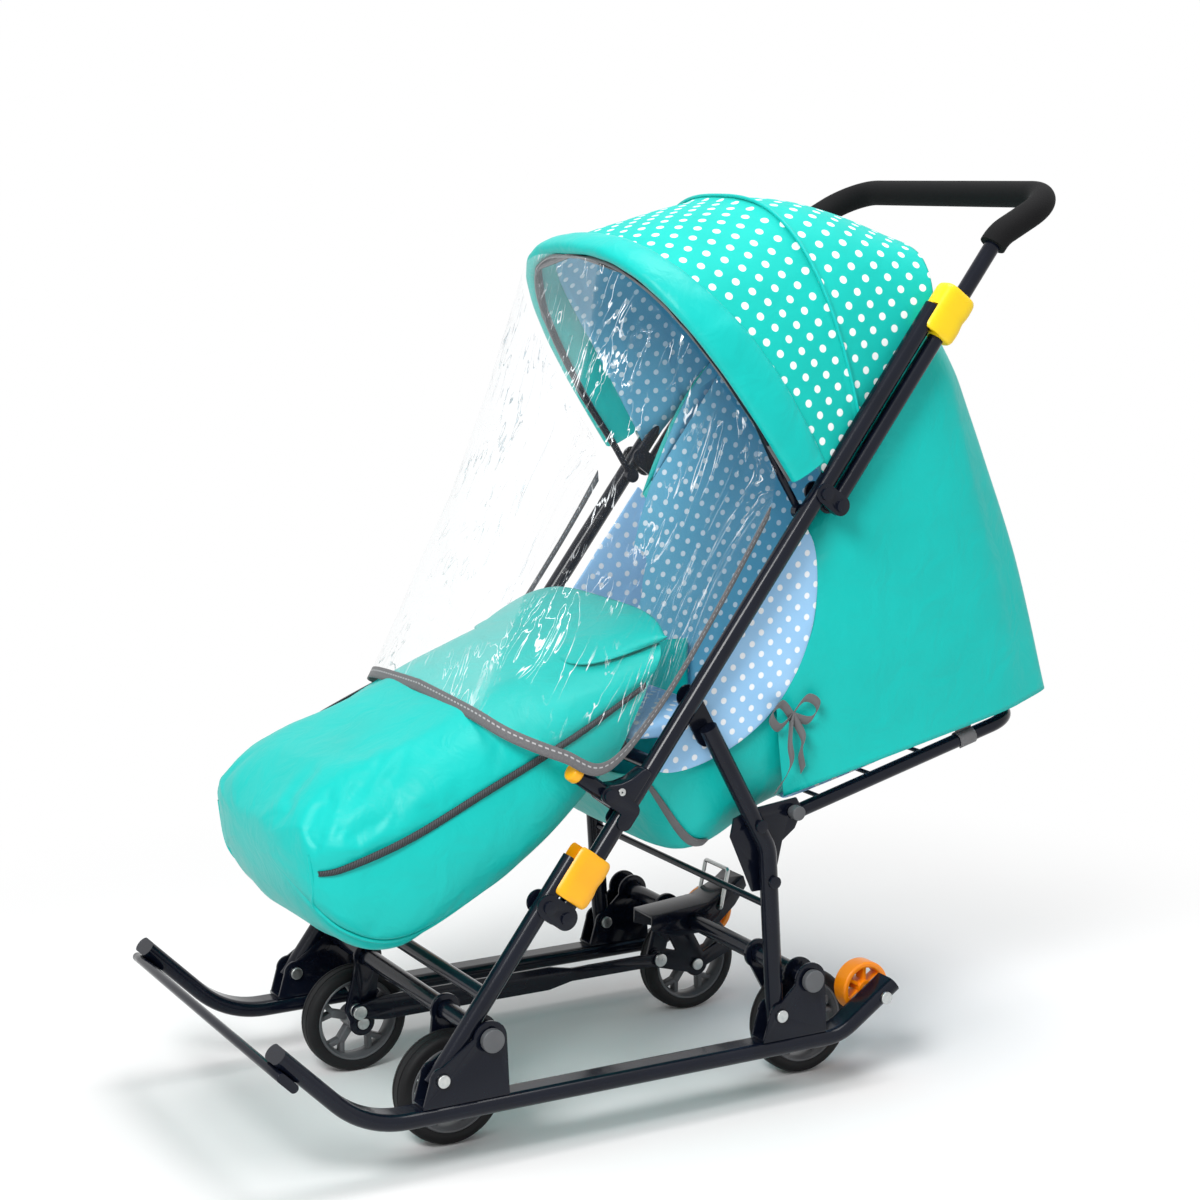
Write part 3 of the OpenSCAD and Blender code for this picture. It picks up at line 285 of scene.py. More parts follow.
NYLON = moulded("grey_nylon", "#4A4B4E", "#5E6063", 0.4, 1.0, 0.0001, Specular_IOR_Level=0.4)


def rim_mesh():
    """A rim with a hub and its spokes, each a stem that forks into two prongs before the rim."""
    parts = [turned(RIM_PROFILE), turned(HUB_PROFILE, 40)]
    for spoke in range(SPOKES):
        spin = Matrix.Rotation(math.tau * spoke / SPOKES, 4, "X")
        for side in (0, -1, 1):
            blade = rounded_bar(PRONG_SIZE if side else STEM_SIZE, SPOKE_EDGE)
            lean = Matrix.Rotation(side * math.radians(PRONG_LEAN), 4, "X")
            out = (0, -side * PRONG_ASIDE, PRONG_OUT if side else STEM_OUT)
            bmesh.ops.transform(blade, matrix=lean, verts=blade.verts)
            bmesh.ops.translate(blade, vec=out, verts=blade.verts)
            bmesh.ops.transform(blade, matrix=spin, verts=blade.verts)
            parts.append(blade)
    return joined(parts)


for end in ("front", "rear"):
    for hand in ("left", "right"):
        low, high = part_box(f"tyre_{end}_{hand}")
        centre = (Vector(low) + Vector(high)) / 2
        wheel_body = f"wheel_{end}_{hand}"
        for node, bm, finish, slot in (
            ("tyre", turned(TYRE_PROFILE), RUBBER, "rubber"),
            ("rim", rim_mesh(), NYLON, "grey_plastic")):
            bmesh.ops.translate(bm, vec=centre, verts=bm.verts)
            made = piece(bm, f"{node}_{end}_{hand}_finish", finish, wheel_body, slot)
            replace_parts(made, f"{node}_{end}_{hand}")
for grey in ("front_axle_caps", "rear_axle_caps", "recline_pin_left", "recline_pin_right"):
    softened(grey, CAP_EDGE, NYLON, "grey_plastic", segments=3)
painted(["footrest"], NYLON)


# Transport wheels and stub plugs: bright ABS, moulded in one piece with rounded edges. The wheels
# turn on bolts at the runners' heels, and the plugs are pressed into the frame's short stubs.
def bright_abs(name, dark, light, rough):
    """Bright ABS: an even moulded gloss, with a little light from under its skin."""
    return moulded(name, dark, light, rough, 0.9, 0.00008, Subsurface_Weight=0.05)


ORANGE = bright_abs("orange_abs", "#F58200", "#FF9600", 0.34)
AMBER = bright_abs("amber_abs", "#EFA200", "#FDB800", 0.36)
TIP_WHEEL_EDGE = 0.0009
PLUG_EDGE = 0.003
for hand in ("left", "right"):
    softened(f"tip_wheel_{hand}", TIP_WHEEL_EDGE, ORANGE, "orange_plastic")
softened("stub_plugs", PLUG_EDGE, AMBER, "yellow_plastic", segments=4)


# Slide latches: moulded ABS barrels with a thumb dent, yellow above and amber below. Each slides on
# one tube, and its mouth holds the tube before it; above that tube's end the upper one is closed.
YELLOW = bright_abs("yellow_abs", "#F2C800", "#FFD803", 0.36)
SIDES = ((1, "left"), (-1, "right"))
TUBE_ALONG = Vector((0, 0.5976, 0.8018))
TUBE_FRONT = Vector((0, -0.8018, 0.5976))
TUBE_ASIDE = 197
LATCH_LENGTH = 56
LATCH_HALF = 15.8
LATCH_LIP = 5
LATCH_WALL = 2
LATCH_ROUND = 7
LATCH_SQUARE = 0.6
LATCH_FACETS = 44
MOUTH_HALF = 10.5
END_STEPS = [0, 0.4, 1.2, 2.6, 4.5, 7]
UPPER_LATCH = ("upper", 24, 14, ((0, 30, True), (28, LATCH_LENGTH, False)), YELLOW)
LOWER_LATCH = ("lower", 25, 15, ((0, LATCH_LENGTH, True),), AMBER)


def soft(value, power):
    """A power that keeps the value's sign."""
    return math.copysign(abs(value) ** power, value)


def barrel(start, low, high, reach, back, mouth):
    """A bmesh of a barrel round a tube, from low to high along it in mm, with or without a mouth."""
    front = reach + LATCH_LIP
    mid, deep = (front - back) / 2, (front + back) / 2
    lip = math.acos((MOUTH_HALF / LATCH_HALF) ** (1 / LATCH_SQUARE)) if mouth else math.pi / 2
    sweep = math.pi + 2 * lip
    turns = [math.pi - lip + sweep * i / LATCH_FACETS for i in range(LATCH_FACETS + mouth)]
    steps = END_STEPS + list(range(10, high - low - LATCH_ROUND, 3))
    steps += [high - low - step for step in reversed(END_STEPS)]
    bm = bmesh.new()
    rings = []
    for step in steps:
        from_low = LATCH_ROUND if low else step
        from_high = high - low - step if high == LATCH_LENGTH else LATCH_ROUND
        near = min(from_low, from_high, LATCH_ROUND)
        inset = LATCH_ROUND - math.sqrt(LATCH_ROUND ** 2 - (LATCH_ROUND - near) ** 2)
        along = (low + step) / LATCH_LENGTH
        grow = 1 + 0.06 * math.sin(math.pi * along) - 0.09 * math.exp(-((along - 0.5) / 0.13) ** 2)
        ring = []
        for turn in turns:
            x = LATCH_HALF * soft(math.cos(turn), LATCH_SQUARE)
            y = deep * soft(math.sin(turn), LATCH_SQUARE)
            trim = 1 - 0.6 * inset / math.hypot(x, y)
            across = x if mouth and y > 0 else x * trim
            ring.append((across, mid + y * (grow * trim if y < 0 else trim)))
        if mouth:
            ring += [(MOUTH_HALF, reach - MOUTH_HALF), (-MOUTH_HALF, reach - MOUTH_HALF)]
        lift = TUBE_ALONG * (low + step)
        rings.append([bm.verts.new(start + (Vector((x, 0, 0)) + TUBE_FRONT * y + lift) / 1000)
            for x, y in ring])
    loops = [[bm.edges.new(ends) for ends in zip(ring, ring[1:] + ring[:1])] for ring in rings]
    for before, after in zip(loops, loops[1:]):
        bmesh.ops.bridge_loops(bm, edges=before + after)
    bm.faces.new(rings[0])
    bm.faces.new(rings[-1])
    bmesh.ops.recalc_face_normals(bm, faces=bm.faces)
    return bm


for hand, side in SIDES:
    for level, reach, back, lengths, finish in (UPPER_LATCH, LOWER_LATCH):
        latch = f"{level}_latch_{side}"
        low = Vector(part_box(latch)[0])
        start = Vector((hand * TUBE_ASIDE / 1000, low.y - TUBE_FRONT.y * (reach + LATCH_LIP) / 1000,
            low.z + TUBE_FRONT.z * back / 1000))
        parts = [barrel(start, a, b, reach, back + LATCH_WALL, mouth) for a, b, mouth in lengths]
        made = piece(joined(parts), latch + "_finish", finish, body_of_node[latch], "yellow_plastic", 50)
        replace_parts(made, latch)


# Forked fittings: a pressed steel web fills the fork between each main tube and its stub. It is
# enamelled with the frame, and one zinc screw holds it.
WEB_OUTLINE = [(122, 0), (121, 36), (139, 38), (147, 27), (158, 18), (176, 11), (176, 0)]
WEB_INSIDE, WEB_OUTSIDE = 186, 208
WEB_EDGE = 0.0035
SCREW_PROFILE = [(-1, 0.6), (-1, 4.4), (1.6, 4.4), (2.4, 3.4), (2.4, 1.4), (1.2, 0.6)]
SCREW_PLACE = (140, 22)
KNEE = Vector((0, -171.5, 252.5))


def tube_point(x, along, front):
    """A point in metres beside a main tube: across, along it from the knee, and before it, in mm."""
    return (KNEE + Vector((x, 0, 0)) + TUBE_ALONG * along + TUBE_FRONT * front) / 1000


for hand, side in SIDES:
    bm = bmesh.new()
    outline = bm.faces.new([bm.verts.new(tube_point(hand * WEB_INSIDE, *at)) for at in WEB_OUTLINE])
    grown = bmesh.ops.extrude_face_region(bm, geom=[outline])["geom"]
    outer = [part for part in grown if isinstance(part, bmesh.types.BMVert)]
    bmesh.ops.translate(bm, vec=(hand * (WEB_OUTSIDE - WEB_INSIDE) / 1000, 0, 0), verts=outer)
    bmesh.ops.recalc_face_normals(bm, faces=bm.faces)
    rounded_edges(bm, bm.edges[:], WEB_EDGE, 3)
    piece(bm, f"fork_web_{side}", ENAMEL, "upper_frame", "black_steel")
    screw = turned(SCREW_PROFILE, 24)
    bmesh.ops.scale(screw, vec=(hand, 1, 1), verts=screw.verts)
    bmesh.ops.translate(screw, vec=tube_point(hand * WEB_OUTSIDE, *SCREW_PLACE), verts=screw.verts)
    bmesh.ops.recalc_face_normals(screw, faces=screw.faces)
    piece(screw, f"fork_screw_{side}", ZINC, "upper_frame", "zinc")


# Push grip: a sleeve of closed-cell foam rubber with a fine open grain, extruded as a tube and
# pushed over the handle's bend, where its own stretch holds it.
FOAM = moulded("foam_rubber", "#09090A", "#121214", 0.85, 1.6, 0.0006, Specular_IOR_Level=0.2)
painted(["handle_grip"], FOAM)


# Seat and back cushions: dotted cotton over wadding, sewn in channels and pulled in at the seams.
# The seat cushion lies on the seat tube's clips and the back cushion on the backrest's wires.
def through(keys, share):
    """A point on a smooth curve through evenly spaced keys, at a share of its length from 0 to 1."""
    last = len(keys) - 1
    along = min(max(share, 0), 1) * last
    i = min(int(along), last - 1)
    f = along - i
    near = [keys[min(max(i + k, 0), last)] for k in (-1, 0, 1, 2)]
    return [b + 0.5 * f * ((c - a) + f * ((2 * a - 5 * b + 4 * c - d) + f * (3 * (b - c) + d - a)))
        for a, b, c, d in zip(*near)]


REAR_BOLT_Y = 93.88


def spot(x, y, z):
    """A point in metres from millimetres, with Y counted from the rear legs' bolt."""
    return Vector((x, y + REAR_BOLT_Y, z)) / 1000


def run_lengths(points):
    """How far along a row of points each one lies, in metres."""
    lengths = [0.0]
    for a, b in zip(points, points[1:]):
        lengths.append(lengths[-1] + (b - a).length)
    return lengths


def mapped_grid(columns, rows, shape, closed=False, sewn=None):
    """A grid moved to shape(u, v), u and v from 0 to 1, with a UV map in metres along its own lines.

    sewn(u, v) says how far a point is held by a seam, from 0 to 1, and is kept on the vertices.
    """
    points = [[shape(i / columns, k / rows) for k in range(rows + 1)] for i in range(columns + 1)]
    along = [run_lengths(line) for line in points]
    across = [run_lengths(line) for line in zip(*points)]
    bm = bmesh.new()
    layer = bm.loops.layers.uv.new("UVMap")
    hold = bm.verts.layers.float.new("sewn")
    bmesh.ops.create_grid(bm, x_segments=columns, y_segments=rows, size=0.5, calc_uvs=True)
    for face in bm.faces:
        for loop in face.loops:
            i, k = round((loop.vert.co.x + 0.5) * columns), round((loop.vert.co.y + 0.5) * rows)
            middle = across[k][columns // 2]
            loop[layer].uv = (across[k][i] - middle, along[i][k])
    for vert in bm.verts:
        u, v = vert.co.x + 0.5, vert.co.y + 0.5
        vert[hold] = sewn(u, v) if sewn else 0
        vert.co = points[round(u * columns)][round(v * rows)]
    if closed:
        bmesh.ops.remove_doubles(bm, verts=bm.verts, dist=MERGE_DISTANCE)
        bmesh.ops.recalc_face_normals(bm, faces=bm.faces)
    return bm


def sewn_piece(bm, name, material, body, slot):
    """Makes a bmesh a piece of cloth, smooth all over."""
    return piece(bm, name, material, body, slot, smooth=180)


def cloth_bump(tree, place, crumple):
    """A fabric's normal: its weave, drawn coarser than its threads so that it shows, and crumples."""
    weave = add(tree, "TexNoise", {"Vector": place, "Scale": spaced(0.71429), "Detail": 1.0})
    fold = add(tree, "TexNoise", {
        "Vector": place, "Scale": spaced(35.714), "Detail": 3.0, "Distortion": 0.6})
    first = add(tree, "Bump", {"Height": fold.outputs["Fac"], "Strength": crumple, "Distance": 0.012})
    return add(tree, "Bump", {
        "Height": weave.outputs["Fac"], "Normal": first.outputs[0],
        "Strength": 0.15, "Distance": 0.0003})


def dotted_cloth(name, ground, dot, pitch, radius):
    """Dotted cloth: round dots in staggered rows, pitch and radius in millimetres on the UV map."""
    material, tree, shader = new_material(
        name, Roughness=0.7, Sheen_Weight=0.08, Sheen_Roughness=0.4, Specular_IOR_Level=0.25)
    source = add(tree, "TexCoord")
    rows = add(tree, "Mapping", {
        "Vector": source.outputs["UV"], "Rotation": (0, 0, math.radians(45)),
        "Scale": (spaced(pitch), spaced(pitch), 1)})
    cells = add(tree, "TexVoronoi", {"Vector": rows.outputs[0], "Scale": 1.0, "Randomness": 0.0},
        voronoi_dimensions="2D")
    edge = add(tree, "MapRange", {
        "Value": cells.outputs["Distance"], "From Min": radius / pitch - 0.02,
        "From Max": radius / pitch + 0.02})
    cloud = add(tree, "TexNoise", {
        "Vector": source.outputs["Object"], "Scale": spaced(62.5), "Detail": 4.0})
    base = add(tree, "MixRGB", {
        "Fac": cloud.outputs["Fac"], "Color1": linear(ground[0]), "Color2": linear(ground[1])})
    colour = add(tree, "MixRGB", {
        "Fac": edge.outputs[0], "Color1": linear(dot), "Color2": base.outputs[0]})
    bump = cloth_bump(tree, source.outputs["Object"], 0.12)
    into(tree, shader, Base_Color=colour.outputs[0], Normal=bump.outputs[0])
    return material


def puffed(made, pressure, cap):
    """Lets a stuffed piece settle as cloth under pressure, held at its seams, moved by cap at most."""
    start = [vert.co.copy() for vert in made.data.vertices]
    pins = made.vertex_groups.new(name="pins")
    for index, seam in enumerate(made.data.attributes["sewn"].data):
        pins.add([index], seam.value, "REPLACE")
    cloth = made.modifiers.new("Cloth", "CLOTH")
    cloth.settings.use_pressure = True
    cloth.settings.uniform_pressure_force = pressure
    cloth.settings.vertex_group_mass = pins.name
    cloth.settings.effector_weights.gravity = 0
    for step in range(1, 21):
        bpy.context.scene.frame_set(step)
    settled = made.evaluated_get(bpy.context.evaluated_depsgraph_get())
    moved = [vert.co.copy() for vert in settled.data.vertices]
    made.modifiers.remove(cloth)
    made.vertex_groups.remove(pins)
    bpy.context.scene.frame_set(1)
    for vert, before, after in zip(made.data.vertices, start, moved):
        step = after - before
        vert.co = before + step * min(1, cap / max(step.length, 1e-9))
    return made


def smoothed(made, levels=1):
    """Adds a subdivision that renders as it is previewed."""
    finer = made.modifiers.new("Subdivision", "SUBSURF")
    finer.levels = levels
    finer.render_levels = levels
    return made


DOT_PITCH, DOT_RADIUS = 16.5, 3.4
BLUE_DOTS = dotted_cloth("blue_dotted_cotton", ("#93C6F0", "#A5D2F6"), "#F4F8FC", DOT_PITCH, DOT_RADIUS)
BACK_UP = Vector((0, -0.250, 0.968))
BACK_ALONG = Vector((0, 0.968, 0.250))
BACK_HINGE_Y, BACK_HINGE_Z = 10.02, 307
BACK_HALF = 165
BACK_CROWN = 33
BACK_START, BACK_LENGTH, BACK_LIFT = 34, 304, 12.3
CHANNELS = 3
SEAT_HALF = 146
SEAT_CROWN = 27
SEAT_START, SEAT_LENGTH, SEAT_LIFT = -158.9, 128, 418.4
PAD_PRESSURE, PAD_SETTLE = 4, 0.004


def on_back(x, along, up):
    """A point on the backrest in metres: across it, along it from its hinge, and above its tubes."""
    return spot(x, BACK_HINGE_Y, BACK_HINGE_Z) + (BACK_ALONG * along + BACK_UP * up) / 1000


def cushion_ring(u, half, crown):
    """A cushion's section: how far across and how high, round from u = 0 to 1."""
    turn = math.tau * u
    rise = math.sin(turn)
    high = crown * rise ** 0.5 if rise > 0 else -4 * (-rise) ** 0.3
    return half * soft(math.cos(turn), 0.45), high


def back_cushion(u, v):
    full = math.sin(math.pi * v) ** 0.3
    channel = 1 - 0.4 * abs(math.cos(CHANNELS * math.pi * v)) ** 10
    x, high = cushion_ring(u, BACK_HALF * (0.86 + 0.06 * full), BACK_CROWN * full * channel)
    return on_back(x, BACK_START + BACK_LENGTH * v, BACK_LIFT + (high if high > 0 else high * full))


def seat_cushion(u, v):
    full = math.sin(math.pi * v) ** 0.3
    x, high = cushion_ring(u, SEAT_HALF + 8 * full, SEAT_CROWN * full)
    return spot(x, SEAT_START + SEAT_LENGTH * v, SEAT_LIFT + (high if high > 0 else high * full))


def back_seams(u, v):
    channel = abs(math.cos(CHANNELS * math.pi * v)) > 0.985
    return 1.0 if u >= 0.5 or u == 0 or channel else 0.0


def seat_seams(u, v):
    return 1.0 if u >= 0.5 or u == 0 or v in (0, 1) else 0.0


back_pad = sewn_piece(mapped_grid(72, 60, back_cushion, True, back_seams), "back_cushion", BLUE_DOTS,
    "backrest", "blue_cloth")
seat_pad = sewn_piece(mapped_grid(72, 30, seat_cushion, True, seat_seams), "seat_cushion", BLUE_DOTS,
    "upper_frame", "blue_cloth")
for pad, node in ((back_pad, "back_pad"), (seat_pad, "seat_pad")):
    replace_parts(smoothed(puffed(pad, PAD_PRESSURE, PAD_SETTLE)), node)


# Harness: grey polyester webbing, two shoulder straps with a lap strap sewn across them. It lies
# flat on the back cushion.
def webbing():
    """Polyester webbing: a ribbed weave across the strap."""
    material, tree, shader = new_material("grey_webbing", Roughness=0.78, Sheen_Weight=0.2)
    place = add(tree, "TexCoord").outputs["Object"]
    weave = add(tree, "TexNoise", {"Vector": place, "Scale": spaced(1.42857), "Detail": 2.0})
    cloud = add(tree, "TexNoise", {"Vector": place, "Scale": spaced(25), "Detail": 3.0})
    colour = add(tree, "MixRGB", {
        "Fac": cloud.outputs["Fac"], "Color1": linear("#555557"), "Color2": linear("#6C6C6E")})
    bump = add(tree, "Bump", {"Height": weave.outputs["Fac"], "Strength": 0.4, "Distance": 0.0006})
    into(tree, shader, Base_Color=colour.outputs[0], Normal=bump.outputs[0])
    return material


WEB = webbing()
STRAP_EDGE = 0.0008
softened("harness", STRAP_EDGE, WEB, "grey_web")


# Seat sling: plain teal nylon, cut as one sheet and hung in a trough between the seat tube and the
# backrest's hinge.
def taffeta():
    """Nylon taffeta: a close shiny weave, paler where it is rubbed."""
    material, tree, shader = new_material(
        "teal_taffeta", Sheen_Weight=0.03, Sheen_Roughness=0.35, Specular_IOR_Level=0.28)
    place = add(tree, "TexCoord").outputs["Object"]
    cloud = add(tree, "TexNoise", {"Vector": place, "Scale": spaced(111.11), "Detail": 4.0})
    colour = add(tree, "MixRGB", {
        "Fac": cloud.outputs["Fac"], "Color1": linear("#02AFA7"), "Color2": linear("#04C5BD")})
    gloss = add(tree, "MapRange", {"Value": cloud.outputs["Fac"], "To Min": 0.36, "To Max": 0.52})
    bump = cloth_bump(tree, place, 0.22)
    into(tree, shader, Base_Color=colour.outputs[0], Roughness=gloss.outputs[0], Normal=bump.outputs[0])
    return material


def thickened(made, thickness):
    """Gives a sheet its thickness, half on each side."""
    wall = made.modifiers.new("Solidify", "SOLIDIFY")
    wall.thickness = thickness
    wall.offset = 0
    return made


def cut_cloth(made):
    """Returns the sheet as it is."""
    return made


TEAL = taffeta()
CLOTH_THICK = 0.0012
SLING_TOP = [[-150, 396], [-60, 408], [20, 448], [104, 452]]
SLING_LOW = [[-160, 376], [-84, 276], [10, 306], [104, 338]]
SLING_HALF = 170
YOKE_SEAM = spot(0, 68, 660)


def sling(u, v):
    """The sling: u across it from the left edge, v from the seat tube to the backrest's hinge."""
    top, low = Vector(through(SLING_TOP, v)), Vector(through(SLING_LOW, v))
    turn = math.pi * u
    drop = abs(math.sin(turn)) ** 0.5
    ripple = 4 * noise.noise((6 * u, 5 * v, 2.0)) * drop
    flat = top + (low - top) * drop
    return spot((SLING_HALF - 4 * v * v) * soft(math.cos(turn), 0.4), flat.x, flat.y + ripple)


seat_sling = sewn_piece(mapped_grid(70, 40, sling), "seat_sling", TEAL, "upper_frame", "teal_cloth")
cut_cloth(thickened(seat_sling, CLOTH_THICK))
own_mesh(seat_sling)


# Side panels: wings of dotted cotton with thin wadding, two layers sewn together round the edge.
# Each is sewn to the seat and tied to its main tube.
WING_LOW, WING_HIGH = Vector((-150, 392)), Vector((40, 640))
WING_ACROSS = Vector((WING_HIGH.y - WING_LOW.y, WING_LOW.x - WING_HIGH.x)).normalized()
WING_ASIDE = 177


def side_panel(hand):
    """A side panel's shape: u round its section, v up along the main tube."""
    def shape(u, v):
        turn = math.tau * u
        wide = 6 + 92 * math.sin(math.pi * v) ** 0.62
        fat = 0.6 + 3.4 * math.sin(math.pi * v) ** 0.5
        share = (1 - soft(math.cos(turn), 0.7)) / 2
        flat = WING_LOW + (WING_HIGH - WING_LOW) * v + WING_ACROSS * wide * share
        out = fat * soft(math.sin(turn), 0.7) + 1.6 * noise.noise((flat.x / 40, flat.y / 40, 3.0))
        return spot(hand * (WING_ASIDE + out), flat.x, flat.y)
    return shape


for hand, side in SIDES:
    wing = sewn_piece(mapped_grid(48, 60, side_panel(hand), True), f"side_wing_{side}", BLUE_DOTS,
        "upper_frame", "blue_cloth")
    for loop, printed in zip(wing.data.loops, wing.data.uv_layers[0].data):
        printed.uv = wing.data.vertices[loop.vertex_index].co.yz
    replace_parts(smoothed(wing), "side_panels")


# Rear curtain: plain teal nylon tucked under the hood's rear hem and hung round the back of the seat,
# with a dotted lining. It leaves the hood's arch and falls in long slack folds. A yoke seam in the
# main tubes' plane parts it from its yoke.
def laid_flat(made):
    """Unwraps a sheet by its angles, at its real size, so that a printed pattern keeps its shape."""
    bpy.context.view_layer.objects.active = made
    bpy.ops.object.mode_set(mode="EDIT")
    bpy.ops.mesh.select_all(action="SELECT")
    bpy.ops.uv.unwrap(method="ANGLE_BASED", margin=0)
    bpy.ops.object.mode_set(mode="OBJECT")
    bm = bmesh.new()
    bm.from_mesh(made.data)
    layer = bm.loops.layers.uv.active
    flat = 0.0
    for face in bm.faces:
        corners = [loop[layer].uv for loop in face.loops]
        flat += abs(sum(a.cross(b) for a, b in zip(corners, corners[1:] + corners[:1]))) / 2
    scale = math.sqrt(sum(face.calc_area() for face in bm.faces) / flat)
    for face in bm.faces:
        for loop in face.loops:
            loop[layer].uv = loop[layer].uv * scale
    bm.to_mesh(made.data)
    bm.free()
    return made


CURTAIN_FRONT = [[207, 852], [104, 745], [38, 610], [10, 480], [20, 340]]
CURTAIN_BACK = [[212, 945], [252, 828], [308, 702], [362, 572], [408, 421]]
CURTAIN_HALF, CURTAIN_LIMIT = 178, 179
CURTAIN_DEPTH = 300
TUCK_FRONT, TUCK_BACK = Vector((12, 14)), Vector((19, -7))
TUCK_SHARE = 0.05
ARCH_SHARE = 0.35
ARCH_POWER, BOX_POWER = 2 / 2.8, 0.25
LINING_INSET = 7
LINING_DOTS = dotted_cloth("lining_dotted_cotton", ("#5FAFD0", "#74BEDB"), "#E4F1F8",
    DOT_PITCH, DOT_RADIUS)


def curtain(inset):
    """The curtain's shape, that far inside in mm: u round the back from the left, v down to the hem."""
    def shape(u, v):
        turn = math.pi * u
        v *= 1 - 0.008 * inset
        tuck = max(0, 1 - v / TUCK_SHARE)
        boxed = min(1, v / ARCH_SHARE)
        boxed *= boxed * (3 - 2 * boxed)
        power = ARCH_POWER + (BOX_POWER - ARCH_POWER) * boxed
        front = Vector(through(CURTAIN_FRONT, v)) - TUCK_FRONT * tuck
        back = Vector(through(CURTAIN_BACK, v)) - TUCK_BACK * tuck
        deep = abs(math.sin(turn)) ** power
        slack = 2.4 * v * math.sin(deep * 9 + 2.5 * v) + 4 * v * noise.noise((3 * u, 1.2 * v, 5.0))
        fall = 5 * v * math.sin(10 * math.pi * u + 1.5 * v) + 4 * noise.noise((6 * u, 2 * v, 9.0))
        inside = deep * (inset + 4 * tuck + fall * boxed) / CURTAIN_DEPTH
        flat = front + (back - front) * (deep + 0.004 * inset * (1 - deep) - inside)
        narrow = 0.35 * inset
        wide = CURTAIN_HALF - narrow - 4 * tuck - 2 * (1 - deep) * boxed + 3 * v ** 2
        wide = min(wide + slack * min(1, 1.5 * deep), CURTAIN_LIMIT - narrow)
        return spot(wide * soft(math.cos(turn), power), flat.x, flat.y)
    return shape


for layer, inset, finish, slot in (
    ("cloth", 0, TEAL, "teal_cloth"), ("lining", LINING_INSET, LINING_DOTS, "blue_cloth")):
    whole = mapped_grid(120, 60, curtain(inset))
    for part in ("yoke", "curtain"):
        cut = whole.copy()
        bmesh.ops.bisect_plane(cut, geom=cut.verts[:] + cut.edges[:] + cut.faces[:], plane_co=YOKE_SEAM,
            plane_no=-TUBE_FRONT, clear_outer=part == "yoke", clear_inner=part == "curtain")
        made = sewn_piece(cut, f"rear_{part}_{layer}", finish, "upper_frame", slot)
        if layer == "lining":
            laid_flat(made)
        else:
            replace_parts(made, "rear_curtain")
        cut_cloth(thickened(made, CLOTH_THICK))
        if part == "curtain":
            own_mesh(made)
    whole.free()


# Straps and ties: grey webbing and tape. A loop holds the curtain's hem to the backrest, a strap is
# sewn along the sling's flank on each side, and tapes in a bow tie each side panel to its main tube.
STRAP_THICK = 0.0016
TAPE_THICK = 0.0008
LOOP_ASIDE, LOOP_ALONG = 165, 262
LOOP_WIDE, LOOP_RADIUS = 22, 9
TIE_ASIDE = 183
BOW = [
    [[26, 430], [42, 449], [57, 440], [47, 424], [26, 430]],
    [[26, 430], [9, 446], [-5, 434], [7, 420], [26, 430]],
    [[26, 430], [36, 408], [33, 390], [42, 368]],
    [[26, 430], [18, 402], [20, 378], [8, 349]],
]


def hem_loop(hand):
    """A loop round the backrest's tube, u round it and up to the hem, v across the webbing."""
    def shape(u, v):
        turn = math.radians(-70 + 320 * u)
        tab = max(0, (u - 0.85) / 0.15)
        x = LOOP_ASIDE + LOOP_RADIUS * math.cos(turn) * (1 - tab) + 4 * tab
        up = LOOP_RADIUS * math.sin(turn) * (1 - tab) + 20 * tab
        return on_back(hand * x, LOOP_ALONG + LOOP_WIDE * v, up)
    return shape


def flank_strap(hand):
    """A strap just outside the sling, u along it and v across the webbing."""
    def shape(u, v):
        point = sling(0.13 + 0.15 * u + 0.05 * (v - 0.5), 0.06 + 0.36 * u)
        return Vector((hand * (point.x + 0.0025), point.y, point.z - 0.002))
    return shape


def tie_tape(hand, keys, lift):
    """One loop or end of a bow, u across the tape and v along it."""
    def shape(u, v):
        y, z = through(keys, v)
        out = TIE_ASIDE + lift * math.sin(math.pi * v) + 2.5 * (u - 0.5)
        return spot(hand * out, y + 4 * (u - 0.5), z + 9 * (u - 0.5))
    return shape


for hand, side in SIDES:
    loop = sewn_piece(mapped_grid(40, 4, hem_loop(hand)), f"hem_loop_{side}", WEB, "backrest", "grey_web")
    cut_cloth(thickened(loop, STRAP_THICK))
    strap = sewn_piece(mapped_grid(30, 4, flank_strap(hand)), f"flank_strap_{side}", WEB,
        "upper_frame", "grey_web")
    cut_cloth(thickened(strap, STRAP_THICK))
    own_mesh(strap)
    tapes = joined([mapped_grid(2, 30, tie_tape(hand, keys, 6 + 2 * i)) for i, keys in enumerate(BOW)])
    bow = sewn_piece(tapes, f"tie_bow_{side}", WEB, "upper_frame", "grey_web")
    cut_cloth(thickened(bow, TAPE_THICK))


# Hood: dotted teal taffeta sewn over the bow, with a dotted blue lining, a ridge seam, a padded
# plain roll round the front rim and a dark binding under it.
HOOD_LOW = [[28, 664], [70, 689], [98, 723], [148, 783], [207, 852]]
HOOD_TOP = [[-151, 927], [-70, 958], [20, 979], [115, 982], [212, 945]]
HOOD_WIDE = [[200], [196], [188], [181], [178]]
HOOD_LINING_INSET = 6
RIDGE = 0.56
ROLL_LIFT, ROLL_HALF = 1.5, 9
TEAL_DOTS = dotted_cloth("teal_dotted_taffeta", ("#05B4A9", "#07C4B9"), "#F3FAF9", 20.5, 4.3)


